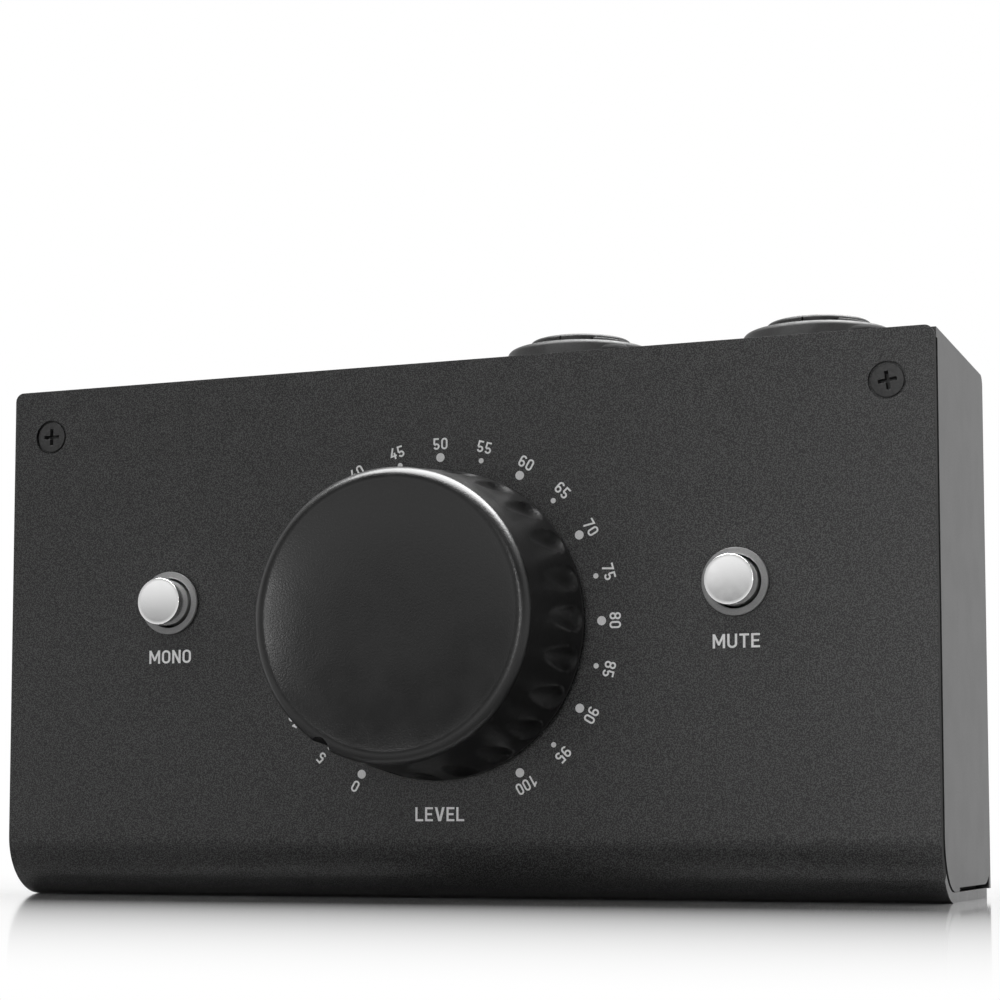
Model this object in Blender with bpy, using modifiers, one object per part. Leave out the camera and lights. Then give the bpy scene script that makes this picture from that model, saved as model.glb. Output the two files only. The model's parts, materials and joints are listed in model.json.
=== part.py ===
"""Desktop studio monitor controller: folded steel case, fluted volume knob on a four-gang
potentiometer, two push buttons, two combination inputs, two three-pin outputs and a mini jack.

+X is to the right seen from the front, +Y to the back and +Z up. The origin is the middle of
the case's footprint, on the face that it stands on. All values are in metres.
"""
import math

import bmesh
import bpy
from mathutils import Matrix

# Case
case_width = 0.150
case_height = 0.0814
case_depth = 0.0414
sheet = 0.0015
fold_radius = 0.0095
panel_corner_radius = 0.0014
cover_setback = 0.0024
plate_fold_radius = 0.0017
lip_depth = 0.0125
lip_side_inset = 0.0050
relief_width = 0.0010
wall_toe_reach = 0.0141
slot_rise = 0.00125
slot_run = 0.0040

# Clearances and mesh limits
seat_gap = 0.0003
cover_gap = 0.0013
floor_gap = 0.0006
overrun = 0.0010
merge_distance = 0.00001
smooth_angle = math.radians(35)

# Screws
screw_shank_radius = 0.0014
screw_head_radius = 0.00242
screw_head_sink = 0.00015
screw_length = 0.0062
screw_tip = 0.0005
cross_length = 0.0026
cross_width = 0.0005
cross_depth = 0.0009
pan_head_radius = 0.0025
pan_head_height = 0.0020
cover_screw_side_inset = 0.0067
cover_screw_top_inset = 0.00755
bottom_screw_side_inset = 0.0200
bottom_screw_back_inset = 0.0065
tab_width = 0.0125
tab_height = 0.0135
tab_bite = 0.0004

# Knob
knob_above_middle = 0.0003
knob_lift = 0.0010
knob_height = 0.0200
knob_base_radius = 0.0233
knob_draft = 0.00175
knob_lip_radius = 0.0007
knob_dish_depth = 0.0010
knob_lip_height = 0.0006
knob_base_chamfer = 0.0003
knob_base_band = 0.0008
dish_shares = (0, 0.5, 1)
side_shares = (0.30, 0.52, 0.72, 0.88, 0.94, 1)
knob_wall = 0.0020
knob_face_wall = 0.0020
knob_boss_wall = 0.0021
flute_count = 24
flute_columns = 4
flute_depth = 0.0012
flute_cutter_radius = 0.0026
flute_end_radius = 0.0013
notch_angle = math.radians(-150)
notch_radius = 0.0016
notch_depth = 0.0014
notch_length = 0.0090

# Potentiometer
shaft_radius = 0.0030
shaft_flat = 0.0015
shaft_tail_gap = 0.0013
bush_radius = 0.0045
bush_reach = 0.0050
pot_side = 0.0200
pot_plate = 0.0015
pot_headroom = 0.0013
gang_count = 4
gang_length = 0.0047
gang_wall = 0.0010
gang_side_wall = 0.0015
rotor_gap = 0.0005
rotor_thickness = 0.0020
hub_wall = 0.0013
nut_across_corners = 0.0132
nut_thickness = 0.0020
washer_radius = 0.0070
washer_thickness = 0.0005

# Push buttons
button_x = 0.0460
button_above_knob = 0.0050
button_travel = 0.0030
cap_radius = 0.00363
cap_reach = 0.0040
cap_length = 0.0120
cap_edge = 0.00025
cap_socket_depth = 0.0040
plunger_radius = 0.0016
bezel_radius = 0.00495
bezel_height = 0.0004
bezel_sleeve_wall = 0.0005
bezel_sleeve_length = 0.0020
switch_side = 0.0085
switch_stop_gap = 0.0010
switch_wall = 0.0010
switch_side_wall = 0.00085
collar_gap = 0.0004
collar_thickness = 0.0012
spring_pin_radius = 0.0014
spring_pin_length = 0.0015
spring_radius = 0.0022
spring_wire_radius = 0.0002
spring_turns = 4
spring_turn_points = 8

# Sockets in the top face
middle_gap_share = 0.1935
mini_gap_share = 0.1710
socket_screw_web = 0.0013
socket_screw_angle = math.radians(51.63)
socket_side_edge = 0.0030
socket_end_edge = 0.0035
socket_flange_thickness = 0.0030
socket_wall = 0.0021
socket_floor = 0.0012
input_nose_radius = 0.0120
input_nose_draft = 0.00055
input_nose_rise = 0.0041
input_nose_edge = 0.0005
input_rim_wall = 0.00175
input_bore_depth = 0.0190
input_groove = 0.00175
input_core_rise = 0.00565
input_core_edge = 0.0004
input_key_width = 0.0018
input_key_depth = 0.0008
jack_bore_radius = 0.0033
contact_circle_radius = 0.0049
contact_hole_radius = 0.0013
contact_hole_depth = 0.0130
output_nose_radius = 0.0108
output_nose_rise = 0.0008
output_wall = 0.0027
output_cup_depth = 0.0130
output_key_width = 0.0016
output_key_depth = 0.0007
pin_radius = 0.0012
pin_recess = 0.0015
pin_root = 0.0050
pin_tip = 0.0005

# Mini jack
mini_bush_radius = 0.0039
mini_bush_rise = 0.0032
mini_bore_radius = 0.0019
mini_bore_depth = 0.0130
mini_body_width = 0.0080
mini_body_length = 0.0120
mini_body_depth = 0.0140
mini_nut_radius = 0.0056
mini_nut_thickness = 0.0020

# Boards
board_thickness = 0.0016
board_margin_share = 0.236
control_board_margin = 0.0077
control_board_height = 0.0270
link_width = 0.0240
link_depth = 0.0040
link_overlap = 0.0060

# Feet
foot_radius = 0.0060
foot_draft = 0.0008
foot_height = 0.0025
foot_edge = 0.0004
foot_inset_x = 0.0130
foot_inset_z = 0.0130

# Planes that the pieces share
panel_y = -case_depth / 2
panel_back_y = panel_y + sheet
back_y = case_depth / 2
chassis_front_y = panel_back_y + cover_gap
chassis_low_z = sheet + seat_gap
slot_top_z = sheet + floor_gap
cover_screw_x = case_width / 2 - cover_screw_side_inset
cover_screw_z = case_height - cover_screw_top_inset
bottom_screw_x = case_width / 2 - bottom_screw_side_inset
bottom_screw_y = back_y - bottom_screw_back_inset
knob_z = case_height / 2 + knob_above_middle
button_z = knob_z + button_above_knob
socket_board_low_z = knob_z + pot_side / 2 + pot_headroom
socket_board_top_z = socket_board_low_z + board_thickness
socket_top = -sheet - seat_gap
socket_low = socket_board_top_z + seat_gap - case_height
pot_front = -sheet - seat_gap
gang_pitch = gang_length + seat_gap
gang_front = pot_front - pot_plate - seat_gap
pot_end = gang_front - gang_count * gang_pitch + seat_gap
control_board_y = panel_y - pot_end + seat_gap
bezel_bore_radius = cap_radius + seat_gap
bezel_sleeve_radius = bezel_bore_radius + bezel_sleeve_wall
shaft_bore_radius = shaft_radius + seat_gap
hub_radius = shaft_bore_radius + hub_wall
screw_hole_radius = screw_shank_radius + seat_gap
screw_sink_radius = screw_head_radius + seat_gap
input_nose_top_radius = input_nose_radius - input_nose_draft
input_bore_radius = input_nose_top_radius - input_rim_wall
input_core_radius = input_bore_radius - input_groove
output_cup_radius = output_nose_radius - output_wall
socket_body_side = 2 * (input_bore_radius + socket_wall)
socket_screw_reach = input_nose_radius + seat_gap + socket_screw_web + screw_hole_radius
socket_screw_x = socket_screw_reach * math.cos(socket_screw_angle)
socket_screw_y = socket_screw_reach * math.sin(socket_screw_angle)
socket_flange_width = 2 * (socket_screw_x + socket_side_edge)
socket_flange_length = 2 * (socket_screw_y + socket_end_edge)
socket_free_width = case_width / 2 - sheet - 2 * socket_flange_width - mini_body_width
inner_socket_x = socket_flange_width / 2 + middle_gap_share * socket_free_width
mini_gap = mini_gap_share * socket_free_width
mini_jack_x = inner_socket_x + (socket_flange_width + mini_body_width) / 2 + mini_gap
outer_socket_x = 2 * mini_jack_x - inner_socket_x
gang_cavity_radius = pot_side / 2 - gang_side_wall
rotor_radius = gang_cavity_radius - rotor_gap
switch_cavity_radius = switch_side / 2 - switch_side_wall
collar_radius = switch_cavity_radius - collar_gap
foot_top_radius = foot_radius - foot_draft
knob_rim_radius = knob_base_radius - knob_draft
knob_ceiling = knob_height - knob_lip_height - knob_dish_depth - knob_face_wall
shaft_reach = knob_ceiling - 2 * seat_gap
boss_low = bush_reach + 2 * seat_gap
flute_floor_radius = knob_base_radius - flute_depth

to_front = (math.pi / 2, 0, 0)
to_back = (-math.pi / 2, 0, 0)
to_floor = (math.pi, 0, 0)
side_on = (math.pi / 2, 0, math.pi / 2)

finishes = {
    "case_paint": ((0.030, 0.030, 0.031), 0.55, 0.0),
    "knob_plastic": ((0.014, 0.014, 0.015), 0.38, 0.0),
    "button_metal": ((0.78, 0.78, 0.79), 0.25, 0.9),
    "bezel_plastic": ((0.13, 0.13, 0.13), 0.45, 0.0),
    "socket_plastic": ((0.020, 0.020, 0.021), 0.40, 0.0),
    "screw_steel": ((0.035, 0.035, 0.037), 0.35, 0.8),
    "bright_metal": ((0.60, 0.60, 0.61), 0.30, 1.0),
    "brass": ((0.72, 0.53, 0.25), 0.30, 1.0),
    "board": ((0.03, 0.13, 0.07), 0.50, 0.0),
    "rubber": ((0.020, 0.020, 0.020), 0.80, 0.0),
    "pot_resin": ((0.16, 0.10, 0.05), 0.60, 0.0),
}


def clear_scene():
    for obj in list(bpy.data.objects):
        bpy.data.objects.remove(obj, do_unlink=True)


def new_collection(name):
    collection = bpy.data.collections.new(name)
    bpy.context.scene.collection.children.link(collection)
    return collection


def finish_material(slot):
    """The material of one finish, made when it is first asked for."""
    material = bpy.data.materials.get(slot)
    if material is None:
        colour, roughness, metallic = finishes[slot]
        material = bpy.data.materials.new(slot)
        material.use_nodes = True
        shader = material.node_tree.nodes["Principled BSDF"]
        shader.inputs["Base Color"].default_value = (*colour, 1)
        shader.inputs["Roughness"].default_value = roughness
        shader.inputs["Metallic"].default_value = metallic
        material.diffuse_color = (*colour, 1)
    return material


def station(name, location, rotation=(0, 0, 0)):
    """An empty that pieces hang on; its local +Z points out of the face it stands on."""
    empty = bpy.data.objects.new(name, None)
    empty.location = location
    empty.rotation_euler = rotation
    empty.empty_display_size = foot_radius
    parts.objects.link(empty)
    return empty


def hang(obj, parent, offset=(0, 0, 0)):
    obj.parent = parent
    obj.location = offset
    return obj


def as_part(obj, slot):
    """Keeps an object as a piece of the model, with its finish."""
    parts.objects.link(obj)
    obj.data.materials.append(finish_material(slot))
    obj.data.shade_smooth()
    obj.data.set_sharp_from_angle(angle=smooth_angle)
    return obj


def as_cutter(obj):
    """Keeps an object as a tool that only shapes other pieces."""
    cutters.objects.link(obj)
    obj.hide_render = True
    obj.display_type = "WIRE"
    return obj


def object_of(name, bm):
    mesh = bpy.data.meshes.new(name)
    bm.to_mesh(mesh)
    bm.free()
    return bpy.data.objects.new(name, mesh)


def box(name, low, high):
    """A box between two corners."""
    size = [b - a for a, b in zip(low, high)]
    middle = [(a + b) / 2 for a, b in zip(low, high)]
    bm = bmesh.new()
    bmesh.ops.create_cube(bm, size=1, matrix=Matrix.Translation(middle) @ Matrix.Diagonal((*size, 1)))
    return object_of(name, bm)


def cylinder(name, radius, low, high, segments=20):
    """A cylinder along local Z between two heights."""
    bm = bmesh.new()
    bmesh.ops.create_cone(
        bm, cap_ends=True, segments=segments, radius1=radius, radius2=radius, depth=high - low,
        matrix=Matrix.Translation((0, 0, (low + high) / 2)),
    )
    return object_of(name, bm)


def turned(name, profile, segments=20, ring=False):
    """A body of revolution; the profile of (radius, height) runs down its outer side."""
    bm = bmesh.new()
    verts = [bm.verts.new((radius, 0, height)) for radius, height in profile]
    for start, end in zip(verts, verts[1:]):
        bm.edges.new((start, end))
    if ring:
        bm.edges.new((verts[-1], verts[0]))
    obj = object_of(name, bm)
    screw = obj.modifiers.new("turn", "SCREW")
    screw.steps = segments
    screw.render_steps = segments
    screw.use_merge_vertices = True
    screw.merge_threshold = merge_distance
    return obj


def tube(name, inner, outer, low, high, segments=20):
    return turned(name, [(outer, high), (outer, low), (inner, low), (inner, high)], segments, ring=True)


def arc(u, v, radius, start, end, steps):
    """Points of an arc about (u, v), in degrees from +u towards +v."""
    points = []
    for step in range(steps + 1):
        angle = math.radians(start + (end - start) * step / steps)
        points.append((u + radius * math.cos(angle), v + radius * math.sin(angle)))
    return points


def evaluated_mesh(obj):
    """The mesh that an unlinked object gives with its modifiers, as plain data."""
    scene = bpy.context.scene.collection
    scene.objects.link(obj)
    bpy.context.view_layer.update()
    graph = bpy.context.evaluated_depsgraph_get()
    mesh = bpy.data.meshes.new_from_object(obj.evaluated_get(graph))
    scene.objects.unlink(obj)
    return mesh


def plate(name, outline, thickness):
    """A flat outline in the local XY plane, given a thickness about that plane."""
    curve = bpy.data.curves.new(name, "CURVE")
    curve.dimensions = "2D"
    curve.fill_mode = "BOTH"
    curve.extrude = thickness / 2
    spline = curve.splines.new("POLY")
    spline.points.add(len(outline) - 1)
    for point, (u, v) in zip(spline.points, outline):
        point.co = (u, v, 0, 1)
    spline.use_cyclic_u = True
    drawn = bpy.data.objects.new(name, curve)
    mesh = evaluated_mesh(drawn)
    bpy.data.objects.remove(drawn)
    bm = bmesh.new()
    bm.from_mesh(mesh)
    bmesh.ops.remove_doubles(bm, verts=bm.verts, dist=merge_distance)
    bmesh.ops.recalc_face_normals(bm, faces=bm.faces)
    bm.to_mesh(mesh)
    bm.free()
    return bpy.data.objects.new(name, mesh)


def boolean(target, tool, operation):
    modifier = target.modifiers.new(tool.name, "BOOLEAN")
    modifier.operation = operation
    modifier.object = tool


def cut(target, tool, parent=None, offset=(0, 0, 0)):
    """Takes a tool's shape away from a piece."""
    boolean(target, hang(as_cutter(tool), parent, offset), "DIFFERENCE")


def add(target, tool, parent=None, offset=(0, 0, 0)):
    """Makes a tool's shape one with a piece."""
    boolean(target, hang(as_cutter(tool), parent, offset), "UNION")


def screw_hole(name, depth):
    """The cutter of a countersunk hole, from above the face down to a depth."""
    throat = screw_hole_radius - screw_sink_radius
    return turned(name, [
        (0, overrun), (screw_sink_radius + overrun, overrun), (screw_hole_radius, throat),
        (screw_hole_radius, -depth), (0, -depth),
    ], 12)


def cross_recess(screw, parent, top):
    """Cuts the cross for the driver into a screw's head."""
    for name, along, across in (("long", cross_length, cross_width), ("wide", cross_width, cross_length)):
        slot = box(f"cut_{screw.name}_{name}", (-along / 2, -across / 2, top - cross_depth),
                   (along / 2, across / 2, top + overrun))
        cut(screw, slot, parent)


def sunk_screw(name, parent, x=0, y=0):
    """A countersunk screw whose head lies just below the face."""
    top = -screw_head_sink
    throat = top - (screw_head_radius - screw_shank_radius)
    screw = as_part(turned(name, [
        (0, top), (screw_head_radius, top), (screw_shank_radius, throat),
        (screw_shank_radius, screw_tip - screw_length), (screw_shank_radius - screw_tip, -screw_length),
        (0, -screw_length),
    ], 12), "screw_steel")
    seat = station(f"{name}_seat", (x, y, 0))
    seat.parent = parent
    hang(screw, seat)
    cross_recess(screw, seat, top)
    return screw


def pan_screw(name, parent, x, y):
    """A screw with a domed head that stands on the face."""
    top = seat_gap + pan_head_height
    shoulder = (pan_head_radius + screw_shank_radius) / 2
    screw = as_part(turned(name, [
        (0, top), (shoulder, top), (pan_head_radius, top - pan_head_height / 2), (pan_head_radius, seat_gap),
        (screw_shank_radius, seat_gap), (screw_shank_radius, screw_tip - screw_length),
        (screw_shank_radius - screw_tip, -screw_length), (0, -screw_length),
    ], 12), "screw_steel")
    seat = station(f"{name}_seat", (x, y, 0))
    seat.parent = parent
    hang(screw, seat)
    cross_recess(screw, seat, top)
    return screw


def make_cover():
    """The front panel and the bottom, one sheet folded along the lower edge."""
    path = [(panel_y, case_height)]
    path += arc(panel_y + fold_radius, fold_radius, fold_radius, 180, 270, 8)
    path.append((back_y - cover_setback, 0))
    bm = bmesh.new()
    verts = [bm.verts.new((-case_width / 2, y, z)) for y, z in path]
    edges = [bm.edges.new(pair) for pair in zip(verts, verts[1:])]
    swept = bmesh.ops.extrude_edge_only(bm, edges=edges)["geom"]
    moved = [item for item in swept if isinstance(item, bmesh.types.BMVert)]
    bmesh.ops.translate(bm, verts=moved, vec=(case_width, 0, 0))
    corners = [vert for vert in bm.verts if len(vert.link_edges) == 2]
    bmesh.ops.bevel(bm, geom=corners, affect="VERTICES", offset=panel_corner_radius, segments=3, profile=0.5)
    cover = as_part(object_of("front_cover", bm), "case_paint")
    thicken = cover.modifiers.new("sheet", "SOLIDIFY")
    thicken.thickness = sheet
    thicken.offset = 1
    thicken.use_even_offset = True
    cut(cover, cylinder("cut_bush_hole", bush_radius + seat_gap, -sheet - overrun, overrun, 24), knob_station)
    for side, seat in button_stations.items():
        hole = cylinder(f"cut_{side}_hole", bezel_sleeve_radius + seat_gap, -sheet - overrun, overrun, 24)
        cut(cover, hole, seat)
    for name, seat in sunk_stations.items():
        if name.startswith(("cover", "bottom")):
            cut(cover, screw_hole(f"cut_{name}_sink", sheet + overrun), seat)
    return cover


def make_chassis():
    """The back plate, side walls, connector face and bottom lip, folded from one sheet."""
    def corner(u, v, radius, start, steps=4):
        return arc(u, v, radius, start, start + 90, steps)

    wall_corner_radius = fold_radius - sheet
    back_u = back_y - plate_fold_radius
    low_v = chassis_low_z + plate_fold_radius
    high_v = case_height - plate_fold_radius
    outline = corner(chassis_front_y + wall_corner_radius, chassis_low_z + wall_corner_radius,
                     wall_corner_radius, 180, 6)
    outline.append((back_y, chassis_low_z))
    outline += corner(back_u, high_v, plate_fold_radius, 0)
    outline.append((chassis_front_y, case_height))
    chassis = as_part(plate("rear_chassis", outline, case_width), "case_paint")
    chassis.rotation_euler = side_on
    add(chassis, box("add_top_edge", (-case_width / 2, panel_back_y + seat_gap, case_height - sheet),
                     (case_width / 2, chassis_front_y + overrun, case_height)))

    inside = plate_fold_radius - sheet
    front = chassis_front_y - overrun
    lip_front = back_y - lip_depth
    below = chassis_low_z - overrun
    hollow = [(front, case_height - sheet), (front, below), (lip_front, below)]
    hollow.append((lip_front, chassis_low_z + sheet))
    hollow += corner(back_u, low_v, inside, 270)
    hollow += corner(back_u, high_v, inside, 0)
    cavity = plate("cut_chassis_cavity", hollow, case_width - 2 * sheet)
    cavity.rotation_euler = side_on
    cut(chassis, cavity)

    lip_half = case_width / 2 - lip_side_inset
    outside = back_y + overrun
    rounding = [(outside, below), (outside, low_v)]
    rounding += arc(back_u, low_v, plate_fold_radius, 0, -90, 4)
    rounding.append((back_u, below))
    fold = plate("cut_lip_fold", rounding, 2 * lip_half)
    fold.rotation_euler = side_on
    cut(chassis, fold)

    slot_radius = (slot_run ** 2 + slot_rise ** 2) / (2 * slot_rise)
    slot_rear = back_y - sheet
    slot_sweep = math.degrees(math.asin(slot_run / slot_radius))
    slot = [(panel_y + wall_toe_reach, below), (panel_y + wall_toe_reach, slot_top_z)]
    slot += arc(slot_rear - slot_run, slot_top_z + slot_radius, slot_radius, -90, slot_sweep - 90, 4)
    slot.append((slot_rear, below))

    tab_front = panel_back_y + seat_gap
    tab_low = cover_screw_z - tab_height / 2
    wall_inside = case_width / 2 - sheet
    slot_inside = wall_inside - seat_gap
    for side in (-1, 1):
        low_x, high_x = sorted((side * (wall_inside - tab_width), side * (wall_inside + tab_bite)))
        add(chassis, box(f"add_tab_{side}", (low_x, tab_front, tab_low),
                         (high_x, tab_front + sheet, tab_low + tab_height)))
        low_x, high_x = sorted((side * lip_half, side * wall_inside))
        cut(chassis, box(f"cut_lip_end_{side}", (low_x, lip_front - overrun, below),
                         (high_x, slot_rear, low_v)))
        low_x, high_x = sorted((side * lip_half, side * (lip_half + relief_width)))
        cut(chassis, box(f"cut_relief_{side}", (low_x, slot_rear - overrun, below),
                         (high_x, outside, low_v)))
        opening = plate(f"cut_wall_slot_{side}", slot, case_width / 2 + overrun - slot_inside)
        opening.rotation_euler = side_on
        cut(chassis, opening, None, (side * (case_width / 2 + overrun + slot_inside) / 2, 0, 0))
    for name, seat in sunk_stations.items():
        if name.startswith(("cover", "bottom")):
            bore = cylinder(f"cut_{name}_thread", screw_hole_radius, -screw_length - overrun, -sheet, 12)
            cut(chassis, bore, seat)
    for name, seat in socket_stations.items():
        nose = input_nose_radius if name.startswith("input") else output_nose_radius
        cut(chassis, cylinder(f"cut_{name}_hole", nose + seat_gap, -sheet - overrun, overrun, 28), seat)
        for place, (x, y) in screw_places.items():
            if name.startswith("input"):
                hole = cylinder(f"cut_{name}_{place}", screw_hole_radius, -sheet - overrun, overrun, 12)
            else:
                hole = screw_hole(f"cut_{name}_{place}", sheet + overrun)
            cut(chassis, hole, seat, (x, y, 0))
    mini_hole = cylinder("cut_mini_hole", mini_bush_radius + seat_gap, -sheet - overrun, overrun)
    cut(chassis, mini_hole, mini_station)
    return chassis


def make_feet():
    for index, (x_side, z_side) in enumerate(((-1, -1), (1, -1), (-1, 1), (1, 1)), start=1):
        x = x_side * (case_width / 2 - foot_inset_x)
        z = case_height / 2 + z_side * (case_height / 2 - foot_inset_z)
        foot = as_part(turned(f"foot_{index}", [
            (0, seat_gap + foot_height), (foot_top_radius - foot_edge, seat_gap + foot_height),
            (foot_top_radius, seat_gap + foot_height - foot_edge), (foot_radius, seat_gap), (0, seat_gap),
        ]), "rubber")
        hang(foot, station(f"foot_{index}_seat", (x, back_y, z), to_back))


def d_outline(radius):
    """The outline of a round shaft with a flat along its lower side."""
    reach = radius - shaft_flat
    half = math.degrees(math.acos(reach / radius))
    return arc(0, 0, radius, -90 + half, 270 - half, 16)


def knob_profile():
    """The knob's outer section, from the middle of its face round to its base."""
    top = knob_height
    lip_u = knob_rim_radius - knob_lip_radius
    lip_v = top - knob_lip_radius
    crease = lip_u - knob_lip_radius
    crease_height = top - knob_lip_height
    profile = []
    for share in dish_shares:
        profile.append((crease * share, crease_height - knob_dish_depth * (1 - share ** 2)))
    profile += arc(lip_u, lip_v, knob_lip_radius, 150, 0, 3)
    side_low = knob_lift + knob_base_band
    for share in side_shares:
        radius = knob_rim_radius + (knob_base_radius - knob_rim_radius) * share
        profile.append((radius, lip_v + (side_low - lip_v) * share))
    profile += [(knob_base_radius - knob_base_chamfer, knob_lift), (0, knob_lift)]
    return profile


def fluted_radius(radius, angle, height):
    """The side's radius where a round cutter, run in from the front, has left a flute."""
    pitch = 2 * math.pi / flute_count
    offset = (angle / pitch + 0.5) % 1 - 0.5
    across = radius * math.sin(offset * pitch)
    if abs(across) >= flute_cutter_radius:
        return radius
    floor = flute_floor_radius + flute_cutter_radius - math.sqrt(flute_cutter_radius ** 2 - across ** 2)
    end = knob_lift + knob_base_band + flute_end_radius
    below = min(max(end - height, 0), flute_end_radius)
    floor += flute_end_radius - math.sqrt(flute_end_radius ** 2 - below ** 2)
    return min(radius, floor)


def make_knob():
    """The fluted and dished knob, with the metal hub that grips the shaft."""
    columns = flute_count * flute_columns
    blank = turned("knob_blank", knob_profile(), columns)
    mesh = evaluated_mesh(blank)
    mesh.name = "knob_shell"
    bpy.data.objects.remove(blank)
    lip_v = knob_height - knob_lip_radius
    for vert in mesh.vertices:
        radius = math.hypot(vert.co.x, vert.co.y)
        if radius > knob_rim_radius and knob_lift + knob_base_band <= vert.co.z < lip_v:
            scale = fluted_radius(radius, math.atan2(vert.co.x, vert.co.y), vert.co.z) / radius
            vert.co.x *= scale
            vert.co.y *= scale
    shell = hang(as_part(bpy.data.objects.new("knob_shell", mesh), "knob_plastic"), knob_station)
    reach = knob_rim_radius - notch_depth + notch_radius
    notch = cylinder("cut_notch", notch_radius, knob_height - notch_length, knob_height + overrun, 20)
    cut(shell, notch, knob_station, (reach * math.sin(notch_angle), reach * math.cos(notch_angle), 0))

    boss_bore = hub_radius + seat_gap
    boss_radius = boss_bore + knob_boss_wall
    hollow = turned("cut_knob_hollow", [
        (knob_rim_radius - knob_wall, knob_ceiling), (knob_base_radius - knob_wall, knob_lift),
        (knob_base_radius - knob_wall, 0), (boss_radius, 0), (boss_radius, knob_ceiling),
    ], 32, ring=True)
    cut(shell, hollow, knob_station)
    cut(shell, cylinder("cut_boss_end", boss_radius + overrun, 0, boss_low), knob_station)
    cut(shell, cylinder("cut_boss_bore", boss_bore, 0, knob_ceiling), knob_station)

    high = shaft_reach + seat_gap
    hub = hang(as_part(cylinder("knob_hub", hub_radius, boss_low, high), "brass"), knob_station)
    bore = plate("cut_hub_bore", d_outline(shaft_bore_radius), high - boss_low + 2 * overrun)
    cut(hub, bore, knob_station, (0, 0, (boss_low + high) / 2))


def make_pot():
    """The four-gang potentiometer behind the knob, and what clamps it to the panel."""
    shaft_low = pot_end + gang_wall + shaft_tail_gap
    round_part = cylinder("pot_shaft", shaft_radius, shaft_low, bush_reach)
    shaft = hang(as_part(round_part, "bright_metal"), knob_station)
    flat_length = shaft_reach - bush_reach + overrun
    flat_part = plate("add_shaft_flat", d_outline(shaft_radius), flat_length)
    add(shaft, flat_part, knob_station, (0, 0, shaft_reach - flat_length / 2))

    plate_low = pot_front - pot_plate
    half = pot_side / 2
    bushing = as_part(box("pot_bushing", (-half, -half, plate_low), (half, half, pot_front)), "bright_metal")
    hang(bushing, knob_station)
    neck = cylinder("add_bush_neck", bush_radius, plate_low + pot_plate / 2, bush_reach, 24)
    add(bushing, neck, knob_station)
    bore = cylinder("cut_bush_bore", shaft_bore_radius, plate_low - overrun, bush_reach + overrun)
    cut(bushing, bore, knob_station)

    neck_bore = bush_radius + seat_gap
    washer_high = seat_gap + washer_thickness
    washer = tube("pot_washer", neck_bore, washer_radius, seat_gap, washer_high)
    hang(as_part(washer, "bright_metal"), knob_station)
    nut_low = washer_high + seat_gap
    nut_high = nut_low + nut_thickness
    nut = cylinder("pot_nut", nut_across_corners / 2, nut_low, nut_high, 6)
    hang(as_part(nut, "bright_metal"), knob_station)
    cut(nut, cylinder("cut_nut_bore", neck_bore, 0, nut_high + overrun), knob_station)

    for index in range(gang_count):
        front = gang_front - index * gang_pitch
        rear = front - gang_length
        gang = as_part(box(f"pot_gang_{index + 1}", (-half, -half, rear), (half, half, front)), "pot_resin")
        hang(gang, knob_station)
        well = cylinder(f"cut_gang_well_{index}", gang_cavity_radius, rear + gang_wall, front + overrun)
        cut(gang, well, knob_station)
        bore = cylinder(f"cut_gang_bore_{index}", shaft_bore_radius, rear - overrun, front, 16)
        cut(gang, bore, knob_station)
        rotor_high = front - (gang_length - gang_wall - rotor_thickness) / 2
        rotor = tube(f"pot_rotor_{index + 1}", shaft_bore_radius, rotor_radius,
                     rotor_high - rotor_thickness, rotor_high, 16)
        hang(as_part(rotor, "brass"), knob_station)


def make_button(side, seat):
    """One push button: its cap, trim ring, and the switch with plunger and spring."""
    cap_low = cap_reach - cap_length
    socket_high = cap_low + cap_socket_depth
    socket_radius = plunger_radius + seat_gap
    cap = turned(f"{side}_cap", [
        (0, cap_reach), (cap_radius - cap_edge, cap_reach), (cap_radius, cap_reach - cap_edge),
        (cap_radius, cap_low), (socket_radius, cap_low), (socket_radius, socket_high), (0, socket_high),
    ], 24)
    hang(as_part(cap, "button_metal"), seat)

    bezel_low = seat_gap
    sleeve_low = -bezel_sleeve_length
    bezel = turned(f"{side}_bezel", [
        (bezel_radius, bezel_low + bezel_height), (bezel_radius, bezel_low), (bezel_sleeve_radius, bezel_low),
        (bezel_sleeve_radius, sleeve_low), (bezel_bore_radius, sleeve_low),
        (bezel_bore_radius, bezel_low + bezel_height),
    ], 24, ring=True)
    hang(as_part(bezel, "bezel_plastic"), seat)

    half = switch_side / 2
    body_high = cap_low - button_travel - switch_stop_gap
    body_low = panel_y - control_board_y + seat_gap
    body = as_part(box(f"{side}_switch", (-half, -half, body_low), (half, half, body_high)), "socket_plastic")
    hang(body, seat)
    well_high = body_high - switch_wall
    well_low = body_low + switch_wall
    cut(body, cylinder(f"cut_{side}_well", switch_cavity_radius, well_low, well_high), seat)
    throat_low = well_high - switch_wall
    cut(body, cylinder(f"cut_{side}_throat", socket_radius, throat_low, body_high + overrun), seat)

    collar_high = well_high - seat_gap
    collar_low = collar_high - collar_thickness
    plunger = turned(f"{side}_plunger", [
        (0, socket_high - seat_gap), (plunger_radius, socket_high - seat_gap), (plunger_radius, collar_high),
        (collar_radius, collar_high), (collar_radius, collar_low), (spring_pin_radius, collar_low),
        (spring_pin_radius, collar_low - spring_pin_length), (0, collar_low - spring_pin_length),
    ])
    hang(as_part(plunger, "socket_plastic"), seat)

    wire_high = collar_low - seat_gap - spring_wire_radius
    wire_low = well_low + seat_gap + spring_wire_radius
    hang(as_part(coil(f"{side}_spring", wire_low, wire_high), "bright_metal"), seat)


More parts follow.
